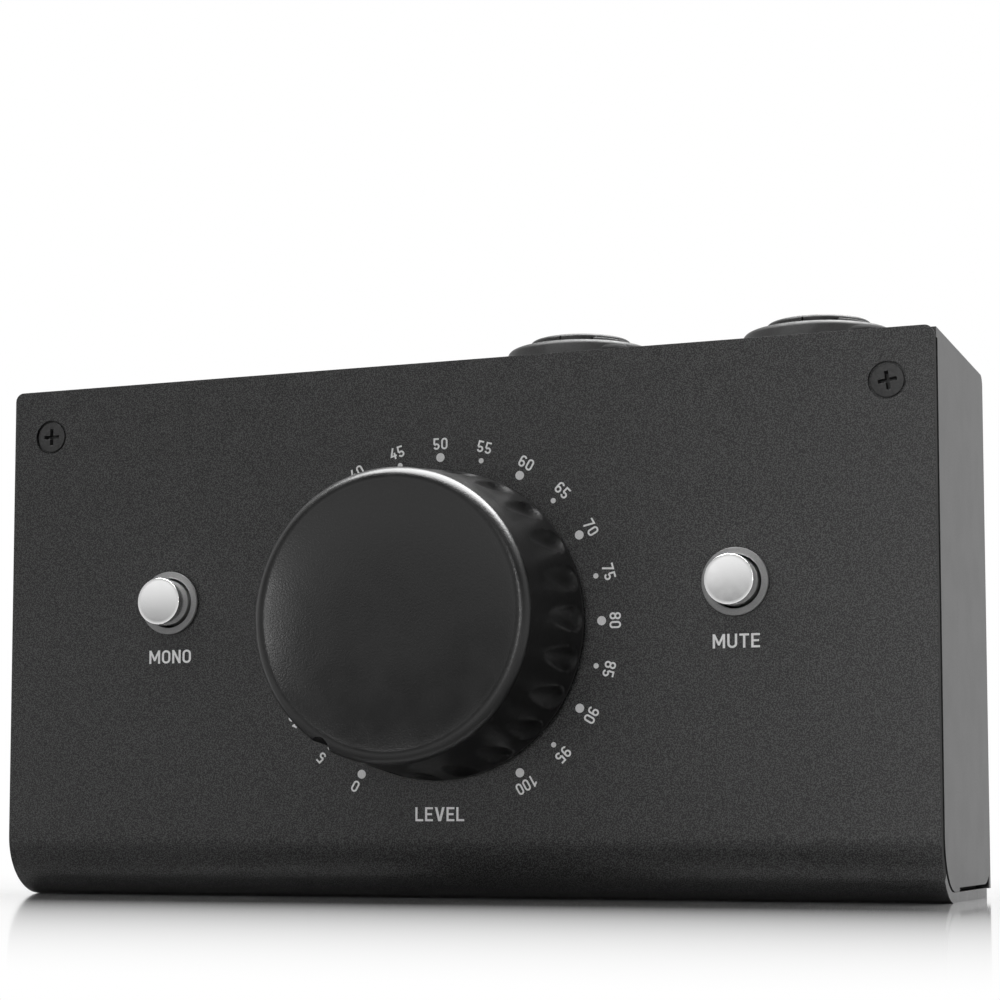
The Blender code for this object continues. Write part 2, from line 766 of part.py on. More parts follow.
def coil(name, low, high):
    """A helical spring along local Z, between two heights of its wire's middle."""
    curve = bpy.data.curves.new(name, "CURVE")
    curve.dimensions = "3D"
    curve.bevel_depth = spring_wire_radius
    curve.bevel_resolution = 1
    curve.use_fill_caps = True
    spline = curve.splines.new("POLY")
    count = spring_turns * spring_turn_points
    spline.points.add(count)
    for index, point in enumerate(spline.points):
        angle = 2 * math.pi * index / spring_turn_points
        height = low + (high - low) * index / count
        point.co = (spring_radius * math.cos(angle), spring_radius * math.sin(angle), height, 1)
    wound = bpy.data.objects.new(name, curve)
    mesh = evaluated_mesh(wound)
    bpy.data.objects.remove(wound)
    bm = bmesh.new()
    bm.from_mesh(mesh)
    bmesh.ops.remove_doubles(bm, verts=bm.verts, dist=merge_distance)
    bm.to_mesh(mesh)
    bm.free()
    return bpy.data.objects.new(name, mesh)


def socket_housing(name, seat):
    """The flange and body that a socket has below the connector face."""
    half_width = socket_flange_width / 2
    half_length = socket_flange_length / 2
    half_body = socket_body_side / 2
    flange_low = socket_top - socket_flange_thickness
    flange = box(name, (-half_width, -half_length, flange_low), (half_width, half_length, socket_top))
    hang(as_part(flange, "socket_plastic"), seat)
    body = box(f"add_{name}_body", (-half_body, -half_body, socket_low),
               (half_body, half_body, socket_top - seat_gap))
    add(flange, body, seat)
    for place, (x, y) in screw_places.items():
        bore = cylinder(f"cut_{name}_{place}", screw_hole_radius, -screw_length - overrun, overrun, 12)
        cut(flange, bore, seat, (x, y, 0))
    return flange


def contact_places():
    """Where the three contacts of a socket lie round its axis."""
    for index in range(3):
        angle = math.radians(90 + 120 * index)
        yield index + 1, contact_circle_radius * math.cos(angle), contact_circle_radius * math.sin(angle)


def make_input(name, seat):
    """A combination socket: shell with a raised nose, and the core with jack bore and contacts."""
    shell = socket_housing(f"{name}_shell", seat)
    root = socket_top - socket_flange_thickness / 2
    nose = turned(f"add_{name}_nose", [
        (0, input_nose_rise), (input_nose_top_radius - input_nose_edge, input_nose_rise),
        (input_nose_top_radius, input_nose_rise - input_nose_edge), (input_nose_radius, seat_gap),
        (input_nose_radius, root), (0, root),
    ], 28)
    add(shell, nose, seat)
    floor = input_nose_rise - input_bore_depth
    cut(shell, cylinder(f"cut_{name}_bore", input_bore_radius, floor, input_nose_rise + overrun, 24), seat)
    jack_low = socket_low + socket_floor
    cut(shell, cylinder(f"cut_{name}_jack", jack_bore_radius, jack_low, floor + overrun, 24), seat)

    core_low = floor + seat_gap
    core = as_part(turned(f"{name}_core", [
        (input_core_radius - input_core_edge, input_core_rise),
        (input_core_radius, input_core_rise - input_core_edge),
        (input_core_radius, core_low), (jack_bore_radius, core_low), (jack_bore_radius, input_core_rise),
    ], 24, ring=True), "socket_plastic")
    hang(core, seat)
    hole_low = input_core_rise - contact_hole_depth
    hole_high = input_core_rise + overrun
    for index, x, y in contact_places():
        hole = cylinder(f"cut_{name}_contact_{index}", contact_hole_radius, hole_low, hole_high, 12)
        cut(core, hole, seat, (x, y, 0))
    half_key = input_key_width / 2
    key = box(f"cut_{name}_key", (-half_key, -input_core_radius - overrun, hole_low),
              (half_key, input_key_depth - input_core_radius, hole_high))
    cut(core, key, seat)
    for place, (x, y) in screw_places.items():
        pan_screw(f"{name}_screw_{place}", seat, x, y)


def make_output(name, seat):
    """A three-pin socket: a cup nearly flush with the connector face, and its pins."""
    shell = socket_housing(f"{name}_shell", seat)
    nose = cylinder(f"add_{name}_nose", output_nose_radius, socket_top - socket_flange_thickness / 2,
                    output_nose_rise, 28)
    add(shell, nose, seat)
    floor = output_nose_rise - output_cup_depth
    cut(shell, cylinder(f"cut_{name}_cup", output_cup_radius, floor, output_nose_rise + overrun, 24), seat)
    key_reach = output_cup_radius + output_key_depth
    key = box(f"cut_{name}_key", (-output_key_width / 2, -key_reach, floor),
              (output_key_width / 2, 0, output_nose_rise + overrun))
    cut(shell, key, seat)
    pin_low = floor - pin_root
    pin_high = output_nose_rise - pin_recess
    hole_low = pin_low - seat_gap
    for index, x, y in contact_places():
        hole = cylinder(f"cut_{name}_pin_{index}", pin_radius + seat_gap, hole_low, floor + overrun, 12)
        cut(shell, hole, seat, (x, y, 0))
        pin = turned(f"{name}_pin_{index}", [
            (0, pin_high), (pin_radius - pin_tip, pin_high), (pin_radius, pin_high - pin_tip),
            (pin_radius, pin_low), (0, pin_low),
        ], 12)
        hang(as_part(pin, "bright_metal"), seat, (x, y, 0))
    for place, (x, y) in screw_places.items():
        sunk_screw(f"{name}_screw_{place}", seat, x, y)


def make_mini_jack():
    half_width = mini_body_width / 2
    half_length = mini_body_length / 2
    body_low = socket_top - mini_body_depth
    jack = box("mini_jack_body", (-half_width, -half_length, body_low), (half_width, half_length, socket_top))
    hang(as_part(jack, "socket_plastic"), mini_station)
    bush = cylinder("add_mini_bush", mini_bush_radius, socket_top - seat_gap, mini_bush_rise)
    add(jack, bush, mini_station)
    bore_low = mini_bush_rise - mini_bore_depth
    cut(jack, cylinder("cut_mini_bore", mini_bore_radius, bore_low, mini_bush_rise + overrun), mini_station)
    nut_high = seat_gap + mini_nut_thickness
    nut = tube("mini_jack_nut", mini_bush_radius + seat_gap, mini_nut_radius, seat_gap, nut_high)
    hang(as_part(nut, "bright_metal"), mini_station)


def make_boards():
    """The board that carries the sockets, the one with the controls, and the link between."""
    socket_end = outer_socket_x + socket_flange_width / 2
    half_width = socket_end + board_margin_share * (case_width / 2 - sheet - socket_end)
    half_depth = socket_flange_length / 2
    as_part(box("socket_board", (-half_width, -half_depth, socket_board_low_z),
                (half_width, half_depth, socket_board_top_z)), "board")
    control_half = button_x + switch_side / 2 + control_board_margin
    board_high = socket_board_low_z - 2 * seat_gap
    board_back = control_board_y + board_thickness
    as_part(box("control_board", (-control_half, control_board_y, board_high - control_board_height),
                (control_half, board_back, board_high)), "board")
    link_half = link_width / 2
    link_front = board_back + seat_gap
    as_part(box("board_link", (-link_half, link_front, board_high - link_overlap),
                (link_half, link_front + link_depth, socket_board_low_z - seat_gap)), "socket_plastic")


clear_scene()
parts = new_collection("studio_monitor_controller")
cutters = new_collection("cutters")

knob_station = station("knob_axis", (0, panel_y, knob_z), to_front)
button_stations = {
    "mono": station("mono_axis", (-button_x, panel_y, button_z), to_front),
    "mute": station("mute_axis", (button_x, panel_y, button_z), to_front),
}
sunk_stations = {
    "cover_screw_left": station("cover_screw_left_seat", (-cover_screw_x, panel_y, cover_screw_z), to_front),
    "cover_screw_right": station("cover_screw_right_seat", (cover_screw_x, panel_y, cover_screw_z), to_front),
    "bottom_screw_left": station("bottom_screw_left_seat", (-bottom_screw_x, bottom_screw_y, 0), to_floor),
    "bottom_screw_right": station("bottom_screw_right_seat", (bottom_screw_x, bottom_screw_y, 0), to_floor),
}
socket_stations = {
    "output_left": station("output_left_axis", (-outer_socket_x, 0, case_height)),
    "output_right": station("output_right_axis", (-inner_socket_x, 0, case_height)),
    "input_left": station("input_left_axis", (inner_socket_x, 0, case_height)),
    "input_right": station("input_right_axis", (outer_socket_x, 0, case_height)),
}
mini_station = station("mini_jack_axis", (mini_jack_x, 0, case_height))
screw_places = {
    "front": (socket_screw_x, -socket_screw_y),
    "rear": (-socket_screw_x, socket_screw_y),
}

make_cover()
make_chassis()
for screw_name, screw_seat in sunk_stations.items():
    sunk_screw(screw_name, screw_seat)
make_feet()
make_knob()
make_pot()
for button_side, button_seat in button_stations.items():
    make_button(button_side, button_seat)
for socket_name, socket_seat in socket_stations.items():
    if socket_name.startswith("input"):
        make_input(socket_name, socket_seat)
    else:
        make_output(socket_name, socket_seat)
make_mini_jack()
make_boards()
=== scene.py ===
"""Looks of a desktop studio monitor controller: finishes, rounded edges, printed scale, light and camera.

Metres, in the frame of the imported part: +X to the right, +Y to the back, +Z up.
"""
import json
import math

import bmesh
import bpy
from mathutils import Matrix, Vector


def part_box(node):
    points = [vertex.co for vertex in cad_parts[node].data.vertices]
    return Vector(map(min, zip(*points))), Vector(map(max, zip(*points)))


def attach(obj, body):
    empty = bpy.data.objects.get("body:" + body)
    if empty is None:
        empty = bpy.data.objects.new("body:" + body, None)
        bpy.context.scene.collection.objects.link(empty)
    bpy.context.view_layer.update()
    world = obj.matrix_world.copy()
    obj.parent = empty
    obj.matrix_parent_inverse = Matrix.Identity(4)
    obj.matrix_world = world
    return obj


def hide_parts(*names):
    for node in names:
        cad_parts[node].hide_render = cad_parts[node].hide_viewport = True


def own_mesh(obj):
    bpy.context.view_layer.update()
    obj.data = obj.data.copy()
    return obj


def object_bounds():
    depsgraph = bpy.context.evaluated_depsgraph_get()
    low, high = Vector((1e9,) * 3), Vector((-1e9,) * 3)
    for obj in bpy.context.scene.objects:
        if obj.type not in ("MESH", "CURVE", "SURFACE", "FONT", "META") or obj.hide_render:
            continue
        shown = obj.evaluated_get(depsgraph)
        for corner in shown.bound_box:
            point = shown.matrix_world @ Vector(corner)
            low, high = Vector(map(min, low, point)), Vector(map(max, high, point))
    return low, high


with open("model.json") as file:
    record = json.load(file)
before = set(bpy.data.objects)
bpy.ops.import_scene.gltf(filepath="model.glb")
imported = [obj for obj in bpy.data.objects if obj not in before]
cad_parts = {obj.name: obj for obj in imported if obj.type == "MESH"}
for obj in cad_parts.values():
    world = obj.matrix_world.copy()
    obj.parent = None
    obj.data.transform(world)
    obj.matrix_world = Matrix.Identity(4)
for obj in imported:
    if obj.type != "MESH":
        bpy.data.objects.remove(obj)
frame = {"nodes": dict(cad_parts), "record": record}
cad_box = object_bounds()

# Case, as the frame gives it
cover_low, cover_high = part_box("front_cover")
chassis_low, chassis_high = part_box("rear_chassis")
half_width = cover_high.x
panel_y = cover_low.y
case_top = chassis_high.z
back_y = chassis_high.y
sheet = 0.0015
fold_radius = 0.0095
bushing_hole = 0.0048
# Height above which the cover's side edges take the dark coat that paints shade; below it they keep the case
# paint.
edge_shade_low = 0.0038
# Two low lips on the cover's bottom, inside the side walls: dark sheets put where the slots under the walls
# only need to look shaded; their inset, sheet and rise.
shade_lip_inset = 0.0005
shade_lip_sheet = 0.0008
shade_lip_rise = 0.0030
panel_corner_radius = 0.0014
plate_fold_radius = 0.0017
edge_radius = 0.00018
seat_gap = 0.0003
cover_gap = 0.0013
edge_drop = 0.00025
plate_drop = 0.0001
overrun = 0.0010
face_margin = 0.0001
merge_distance = 1e-7
lip_depth = 0.0125
lip_side_inset = 0.0050
relief_width = 0.0010
wall_toe_reach = 0.0141
slot_rise = 0.00125
slot_run = 0.0040
slot_lift = 0.0006
tab_width = 0.0125
tab_height = 0.0135
tab_bite = 0.0004
tab_below_screw = 0.00675

# Screws
shank_radius = 0.0014
screw_hole_radius = 0.0017
head_radius = 0.00242
head_sink = 0.00015
head_edge = 0.00012
pan_radius = 0.0025
pan_height = 0.0020
pan_round = 0.0012
screw_edge = 0.00005
screw_length = 0.0062
cross_length = 0.0032
cross_width = 0.00068
ring_gap = 0.00034
ring_depth = 0.0006
cross_depth = 0.0010
cross_taper = 0.7
screw_spot_x = 0.0095
screw_spot_y = 0.0120

# Knob
knob_low, knob_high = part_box("knob_shell")
knob_z = (knob_low.z + knob_high.z) / 2
knob_base_radius = (knob_high.x - knob_low.x) / 2
knob_lift = panel_y - knob_high.y
knob_height = panel_y - knob_low.y
knob_taper = 0.00175
knob_rim_radius = knob_base_radius - knob_taper
knob_lip_radius = 0.0016
knob_lip_end = 112
knob_dish_low = 0.0018
knob_dish_power = 3
knob_rows = 64
knob_row_power = 1.6
knob_base_edge = 0.0003
knob_base_band = 0.0008
knob_wall = 0.0020
knob_face_wall = 0.0018
boss_radius = 0.0070
boss_bore = 0.0049
boss_lift = 0.0056
flute_count = 24
flute_columns = 16
flute_depth = 0.0012
flute_cutter_radius = 0.0026
flute_run_out = 0.0050
notch_angle = math.radians(-150)
notch_radius = 0.0016
notch_depth = 0.0014
notch_length = 0.0090

# Buttons
cap_low, cap_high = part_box("mute_cap")
button_x = (cap_low.x + cap_high.x) / 2
button_z = (cap_low.z + cap_high.z) / 2
cap_radius = (cap_high.x - cap_low.x) / 2
cap_edge = 0.00006
cap_hollow = 0.00011
cap_rows = 8
cap_socket_radius = 0.0019
cap_socket_depth = 0.0040
bezel_radius = 0.00495
bezel_bore = 0.00393
bezel_sleeve = 0.00443
bezel_edge = 0.00012
spring_radius = 0.0022
spring_wire = 0.0002
spring_turns = 4
turn_points = 32
wire_points = 10

# Connector face
nose_radius = 0.0120
nose_top_radius = 0.01145
nose_rise = 0.0041
nose_round = 0.0009
nose_foot = 0.0002
input_bore = 0.0097
input_bore_depth = 0.0190
core_radius = 0.00795
core_round = 0.0005
jack_bore = 0.0033
contact_circle = 0.0049
contact_hole = 0.0013
contact_depth = 0.0130
output_nose = 0.0108
output_edge = 0.0003
pin_round = 0.0006
mouth_reach = 0.0014
mouth_edge = 0.0005
cup_radius = 0.0081
cup_depth = 0.0130
slit_angle = -95
slit_width = 0.00026
slit_depth = 0.0008
slit_high = 0.00025
slit_low = 0.0040
window_width = 0.0007
window_drop = 0.0011
window_angle = -59
latch_start = -57
latch_stop = 24
latch_radius = 0.0086
latch_gap = 0.00008
latch_drop = 0.0007
latch_edge = 0.00012
key_width = 0.0018
key_depth = 0.0008
socket_top_gap = 0.0003
flange_thickness = 0.0030
socket_wall = 0.0021
socket_floor = 0.0012
socket_edge = 0.00008
thread_radius = 0.0039
mini_bore = 0.0019
mini_depth = 0.0130
mini_round = 0.0003
mini_edge = 0.00006
mini_hole = 0.0042
nut_edge = 0.0002
knurl_depth = 0.0002
knurl_count = 96

# Feet
foot_taper = 0.0008
foot_round = 0.0006
foot_edge = 0.0002

# Printed scale, with each word's width, height and place on the panel
scale_start = -150
scale_sweep = 300
scale_top = 100
scale_step = 5
dot_circle = 0.02565
big_dot_radius = 0.00068
small_dot_radius = 0.00040
number_circle = 0.02775
number_height = 0.00177
number_widths = (0.00105, 0.00233, 0.0034)
figure_width = 0.56
letter_stroke = 0.15
letter_gap = 0.14
ink = 0.00002
words = (
    ("LEVEL", 0.0079, 0.0021, 0, 0.0127),
    ("MUTE", 0.0070, 0.00205, button_x, 0.03745),
    ("MONO", 0.0074, 0.0021, -button_x, 0.03755),
)

# Floor and surroundings
floor_grey = 0.62
floor_fade = 0.16
floor_fade_power = 1.7
world_light = 0.36
room_dimming = 0.80


def rotated(x=0, z=0):
    """A turn about X and then about Z, in degrees."""
    return Matrix.Rotation(math.radians(z), 4, "Z") @ Matrix.Rotation(math.radians(x), 4, "X")


def shifted(x=0, y=0, z=0):
    return Matrix.Translation((x, y, z))


def on_panel(x, z):
    """A place on the panel: local +Z out of it, local +Y up."""
    return shifted(x, panel_y, z) @ rotated(x=90)


def on_top(x, y=0):
    """A place on the connector face, with local +Z up."""
    return shifted(x, y, case_top)


def span(side, near, far):
    """The low and high x between two distances from the middle, on one side."""
    return sorted((side * near, side * far))


def arc(u, v, radius, start, end, steps):
    """Points of an arc about (u, v), in degrees from +u towards +v."""
    points = []
    for step in range(steps + 1):
        angle = math.radians(start + (end - start) * step / steps)
        points.append((u + radius * math.cos(angle), v + radius * math.sin(angle)))
    return points


def rounded(corners, steps=5):
    """A closed outline of (u, v, radius) corners, each rounded to its radius."""
    points = []
    for index, (u, v, radius) in enumerate(corners):
        here = Vector((u, v))
        if not radius:
            points.append((u, v))
            continue
        before = (Vector(corners[index - 1][:2]) - here).normalized()
        after = (Vector(corners[(index + 1) % len(corners)][:2]) - here).normalized()
        half = before.angle(after) / 2
        middle = here + (before + after).normalized() * radius / math.sin(half)
        first = here + before * radius / math.tan(half) - middle
        last = here + after * radius / math.tan(half) - middle
        start = math.atan2(first.y, first.x)
        turn = (math.atan2(last.y, last.x) - start + math.pi) % (2 * math.pi) - math.pi
        for step in range(steps + 1):
            angle = start + turn * step / steps
            points.append((middle.x + radius * math.cos(angle), middle.y + radius * math.sin(angle)))
    return points


def lathe(profile, segments=64, ring=False):
    """A body of revolution about Z; the profile of (radius, height) runs down its outer side."""
    bm = bmesh.new()
    verts = [bm.verts.new((radius, 0, height)) for radius, height in profile]
    edges = [bm.edges.new(pair) for pair in zip(verts, verts[1:])]
    if ring:
        edges.append(bm.edges.new((verts[-1], verts[0])))
    bmesh.ops.spin(bm, geom=verts + edges, cent=(0, 0, 0), axis=(0, 0, 1), angle=2 * math.pi,
                   steps=segments, use_merge=True)
    bmesh.ops.remove_doubles(bm, verts=bm.verts, dist=merge_distance)
    bmesh.ops.recalc_face_normals(bm, faces=bm.faces)
    return bm


def cylinder(radius, low, high, segments=48):
    return lathe([(0, high), (radius, high), (radius, low), (0, low)], segments)


def peg(radius, low, high, edge, steps, segments=128):
    """A round bar whose upper rim is rounded."""
    rim = arc(radius - edge, high - edge, edge, 90, 0, steps)
    return lathe([(0, high)] + rim + [(radius, low), (0, low)], segments)


def round_mouth(radius, low, high, edge=mouth_edge, steps=8, segments=128):
    """The cutter of a bore whose mouth is rounded."""
    profile = [(0, high + overrun), (radius + mouth_reach, high + overrun)]
    profile += arc(radius + edge, high - edge, edge, 90, 180, steps)
    return lathe(profile + [(radius, low), (0, low)], segments)


def block(low, high):
    """A box between two corners."""
    size = [b - a for a, b in zip(low, high)]
    middle = [(a + b) / 2 for a, b in zip(low, high)]
    bm = bmesh.new()
    bmesh.ops.create_cube(bm, size=1, matrix=shifted(*middle) @ Matrix.Diagonal((*size, 1)))
    return bm


def prism(outline, low, high):
    """An outline in the XY plane, raised from one height to another."""
    bm = bmesh.new()
    face = bm.faces.new([bm.verts.new((u, v, low)) for u, v in outline])
    raised = bmesh.ops.extrude_face_region(bm, geom=[face])["geom"]
    top = [item for item in raised if isinstance(item, bmesh.types.BMVert)]
    bmesh.ops.translate(bm, verts=top, vec=(0, 0, high - low))
    bmesh.ops.recalc_face_normals(bm, faces=bm.faces)
    return bm


def across(outline, low_x, high_x):
    """An outline of (y, z), extruded along X."""
    bm = prism(outline, low_x, high_x)
    bm.transform(Matrix(((0, 0, 1, 0), (1, 0, 0, 0), (0, 1, 0, 0), (0, 0, 0, 1))))
    return bm


def moved(bm, matrix):
    bm.transform(matrix)
    return bm


def to_object(bm, name="tool"):
    mesh = bpy.data.meshes.new(name)
    bm.to_mesh(mesh)
    bm.free()
    return bpy.data.objects.new(name, mesh)


def into_scene(obj):
    bpy.context.scene.collection.objects.link(obj)


def evaluated(obj):
    """The mesh that an object gives with its modifiers; the object itself is removed."""
    into_scene(obj)
    bpy.context.view_layer.update()
    mesh = bpy.data.meshes.new_from_object(obj.evaluated_get(bpy.context.evaluated_depsgraph_get()))
    bpy.data.objects.remove(obj)
    return mesh


def carved(base, *steps):
    """A base with tools cut from it or added to it; a step is ("cut" or "add", bmesh)."""
    target = to_object(base)
    tools = []
    for way, bm in steps:
        tool = to_object(bm)
        into_scene(tool)
        modifier = target.modifiers.new("step", "BOOLEAN")
        modifier.operation = "DIFFERENCE" if way == "cut" else "UNION"
        modifier.object = tool
        tools.append(tool)
    mesh = evaluated(target)
    for tool in tools:
        bpy.data.objects.remove(tool)
    bm = bmesh.new()
    bm.from_mesh(mesh)
    bpy.data.meshes.remove(mesh)
    bmesh.ops.remove_doubles(bm, verts=bm.verts, dist=merge_distance)
    bmesh.ops.dissolve_degenerate(bm, edges=bm.edges, dist=merge_distance)
    return bm


def piece(name, bm, body, material, replaces=(), edge=0.0, angle=35):
    """A shown piece of the object, with its sharp edges rounded where edge is given."""
    obj = to_object(bm, name)
    into_scene(obj)
    obj.data.materials.append(material)
    obj.data.shade_smooth()
    if edge:
        soft = obj.modifiers.new("edges", "BEVEL")
        soft.width = edge
        soft.segments = 2
        soft.limit_method = "ANGLE"
        soft.angle_limit = math.radians(angle)
        soft.harden_normals = True
        soft.miter_outer = "MITER_ARC"
    else:
        obj.data.set_sharp_from_angle(angle=math.radians(angle))
    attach(obj, body)
    if replaces:
        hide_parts(*replaces)
    return obj


def finer(node, bm, slot, material=None, edge=0.0, angle=35, body="case"):
    """A finer mesh in place of a node, in the finish of its slot unless another is given."""
    return piece(f"{node}_fine", bm, body, material or finishes[slot], [node], edge, angle)


class Finish:
    """A procedural material: a Principled shader fed by noise in the piece's own coordinates."""

    def __init__(self, name, roughness, metallic=0.0, specular=0.5):
        self.material = bpy.data.materials.new(name)
        self.material.use_nodes = True
        self.nodes = self.material.node_tree.nodes
        self.shader = self.nodes["Principled BSDF"]
        self.place = self.nodes.new("ShaderNodeTexCoord").outputs["Object"]
        values = {"Roughness": roughness, "Metallic": metallic, "Specular IOR Level": specular}
        for socket, value in values.items():
            self.shader.inputs[socket].default_value = value

    def link(self, output, target):
        self.material.node_tree.links.new(output, target)

    def noise(self, size, detail=2):
        """Noise whose grains are about one size across."""
        texture = self.nodes.new("ShaderNodeTexNoise")
        texture.inputs["Scale"].default_value = 1 / size
        texture.inputs["Detail"].default_value = detail
        self.link(self.place, texture.inputs["Vector"])
        return texture.outputs["Fac"]

    def spread(self, source, low, high, low_in=0.35, high_in=0.65):
        """Noise, which keeps near its middle, spread over a range."""
        ramp = self.nodes.new("ShaderNodeMapRange")
        for socket, value in (("From Min", low_in), ("From Max", high_in), ("To Min", low), ("To Max", high)):
            ramp.inputs[socket].default_value = value
        self.link(source, ramp.inputs["Value"])
        return ramp.outputs["Result"]

    def colour(self, source, dark, light, low_in=0.35, high_in=0.65):
        """Base colour between two tones, as the noise goes."""
        mix = self.nodes.new("ShaderNodeMix")
        mix.data_type = "RGBA"
        mix.inputs["A"].default_value = (*dark, 1)
        mix.inputs["B"].default_value = (*light, 1)
        self.link(self.spread(source, 0, 1, low_in, high_in), mix.inputs["Factor"])
        self.link(mix.outputs["Result"], self.shader.inputs["Base Color"])

    def rough(self, source, low, high):
        self.link(self.spread(source, low, high), self.shader.inputs["Roughness"])

    def bump(self, source, depth, strength):
        """A relief of a real depth in metres."""
        node = self.nodes.new("ShaderNodeBump")
        node.inputs["Distance"].default_value = depth
        node.inputs["Strength"].default_value = strength
        self.link(source, node.inputs["Height"])
        self.link(node.outputs["Normal"], self.shader.inputs["Normal"])


def grey(value):
    return (value, value, value)


def surface(name, dark, light, roughness, swing, grain, depth, strength, patches=None, detail=2,
            edges=(0.35, 0.65), metallic=0.0, specular=0.5):
    """Two tones over a fine grain with a relief; the roughness varies in patches or with the grain."""
    finish = Finish(name, roughness, metallic, specular)
    marks = finish.noise(grain, detail)
    finish.colour(marks, dark, light, *edges)
    finish.rough(finish.noise(patches) if patches else marks, roughness - swing, roughness + swing)
    finish.bump(marks, depth, strength)
    return finish.material


def smooth_coat(name, specular, roughness, light):
    """The thinner, smoother coat on the folded sides; also a near-black coat that paints shade on the cover's
    side edges.
    """
    finish = Finish(name, roughness, specular=specular)
    finish.colour(finish.noise(0.00030), grey(0.004), light)
    finish.rough(finish.noise(0.0060), roughness - 0.01, roughness + 0.01)
    finish.bump(finish.noise(0.0012, 1), 0.000002, 0.3)
    return finish.material


def moulded_plastic(name, dark, light, roughness, specular=0.5):
    return surface(name, dark, light, roughness, swing=0.05, grain=0.00020, depth=0.00002, strength=0.4,
                   patches=0.0015, specular=specular)


def worked_metal(name, dark, light, roughness, grain=0.00030, depth=0.000008):
    """Bare or plated metal with fine working marks."""
    return surface(name, dark, light, roughness, swing=0.02, grain=grain, depth=depth, strength=0.5,
                   patches=0.0010, metallic=1.0)


def board_resist():
    """Green solder resist over copper tracks."""
    finish = Finish("green_solder_resist", 0.4)
    tracks = finish.noise(0.0022, 0)
    finish.colour(tracks, (0.010, 0.075, 0.032), (0.022, 0.130, 0.060), 0.47, 0.50)
    finish.rough(finish.noise(0.0009), 0.32, 0.45)
    finish.bump(finish.spread(tracks, 0, 1, 0.47, 0.50), 0.00003, 0.6)
    return finish.material


def printing_ink(name, dark, light):
    return surface(name, dark, light, 0.59, swing=0.07, grain=0.00018, depth=0.00002, strength=0.4,
                   patches=0.0008)


finishes = {
    "case_paint": surface("black_powder_coat", grey(0.000), grey(0.055), 0.38, swing=0.02, grain=0.00017,
                          depth=0.00003, strength=0.6, patches=0.0030, edges=(0.46, 0.58), specular=0.41),
    "knob_plastic": surface("satin_black_plastic", grey(0.001), grey(0.004), 0.31, swing=0.02, grain=0.00026,
                            depth=0.00004, strength=0.7, patches=0.0040, specular=0.46),
    "button_metal": worked_metal("satin_plated_metal", grey(0.92), grey(0.97), 0.17, 0.00006, 0.0000004),
    "bezel_plastic": moulded_plastic("grey_trim_plastic", grey(0.16), grey(0.20), 0.45),
    "socket_plastic": moulded_plastic("black_glass_filled_plastic", grey(0.010), grey(0.020), 0.45, 0.24),
    "screw_steel": surface("black_oxide_steel", grey(0.012), grey(0.030), 0.50, swing=0.04, grain=0.00030,
                           depth=0.000004, strength=0.4, detail=3, specular=0.30),
    "bright_metal": worked_metal("nickel_plating", grey(0.55), grey(0.68), 0.26),
    "brass": worked_metal("turned_brass", (0.60, 0.42, 0.16), (0.76, 0.56, 0.26), 0.30),
    "board": board_resist(),
    "rubber": surface("black_rubber", grey(0.010), grey(0.022), 0.81, swing=0.09, grain=0.00035,
                      depth=0.00008, strength=0.5, detail=4),
    "pot_resin": moulded_plastic("brown_bakelite", (0.10, 0.055, 0.025), (0.17, 0.10, 0.05), 0.55),
}
latch_plastic = moulded_plastic("grey_latch_plastic", grey(0.12), grey(0.16), 0.50, 0.20)
side_coat = smooth_coat("black_satin_coat", 0.44, 0.41, grey(0.020))
# A near-black coat that paints the shade on the cover's side edges and on the faces of its side lips.
painted_edge_shade = smooth_coat("painted_edge_shade_coat", 0.10, 0.70, grey(0.010))
pan_steel = smooth_coat("matt_black_oxide_steel", 0.05, 0.60, grey(0.008))
letter_ink = printing_ink("pale_screen_print", grey(0.70), grey(0.82))
dot_ink = printing_ink("grey_screen_print", grey(0.60), grey(0.70))


def sunk_hole(depth):
    """The cutter of a countersunk hole."""
    top = head_radius + seat_gap
    mouth = head_radius + ring_gap
    return lathe([(0, overrun), (mouth, overrun), (mouth, -ring_depth), (top - ring_depth, -ring_depth),
                  (screw_hole_radius, screw_hole_radius - top), (screw_hole_radius, -depth), (0, -depth)], 64)


def cross_tool(top):
    """The tapered cross that a driver fits, as two crossed wedges."""
    tools = []
    for turn in (0, 90):
        bm = block((-cross_length / 2, -cross_width / 2, top - cross_depth),
                   (cross_length / 2, cross_width / 2, top + overrun))
        for vert in bm.verts:
            if vert.co.z < top:
                vert.co.x *= cross_taper
                vert.co.y *= cross_taper
        tools.append(moved(bm, rotated(z=turn)))
    return tools


def make_screw(name, place, profile, top, turn, material):
    """A cross-head screw from the profile of its head and shank."""
    tools = [("cut", tool) for tool in cross_tool(top)]
    bm = carved(lathe(profile, 48), *tools)
    bm.transform(place @ rotated(z=turn))
    finer(name, bm, "screw_steel", material, screw_edge, 30)


def sunk_screw(name, place, turn):
    top = -head_sink
    profile = [(0, top)] + arc(head_radius - head_edge, top - head_edge, head_edge, 90, 0, 4)
    profile += [(shank_radius, top - head_edge - head_radius + shank_radius),
                (shank_radius, -screw_length), (0, -screw_length)]
    make_screw(name, place, profile, top, turn, finishes["screw_steel"])


def pan_screw(name, place, turn):
    top = seat_gap + pan_height
    profile = [(0, top)] + arc(pan_radius - pan_round, top - pan_round, pan_round, 90, 0, 8)
    profile += [(pan_radius, seat_gap), (shank_radius, seat_gap), (shank_radius, -screw_length),
                (0, -screw_length)]
    make_screw(name, place, profile, top, turn, pan_steel)


def node_middle(node):
    low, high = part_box(node)
    return (low + high) / 2


def case_screws():
    """The four screws of the case: each one's name, its place with +Z out of the sheet, and its turn."""
    for end, turn in (("left", 0), ("right", 8)):
        spot = node_middle(f"cover_screw_{end}")
        yield f"cover_screw_{end}", on_panel(spot.x, spot.z), turn
        spot = node_middle(f"bottom_screw_{end}")
        yield f"bottom_screw_{end}", shifted(spot.x, spot.y) @ rotated(x=180), 25


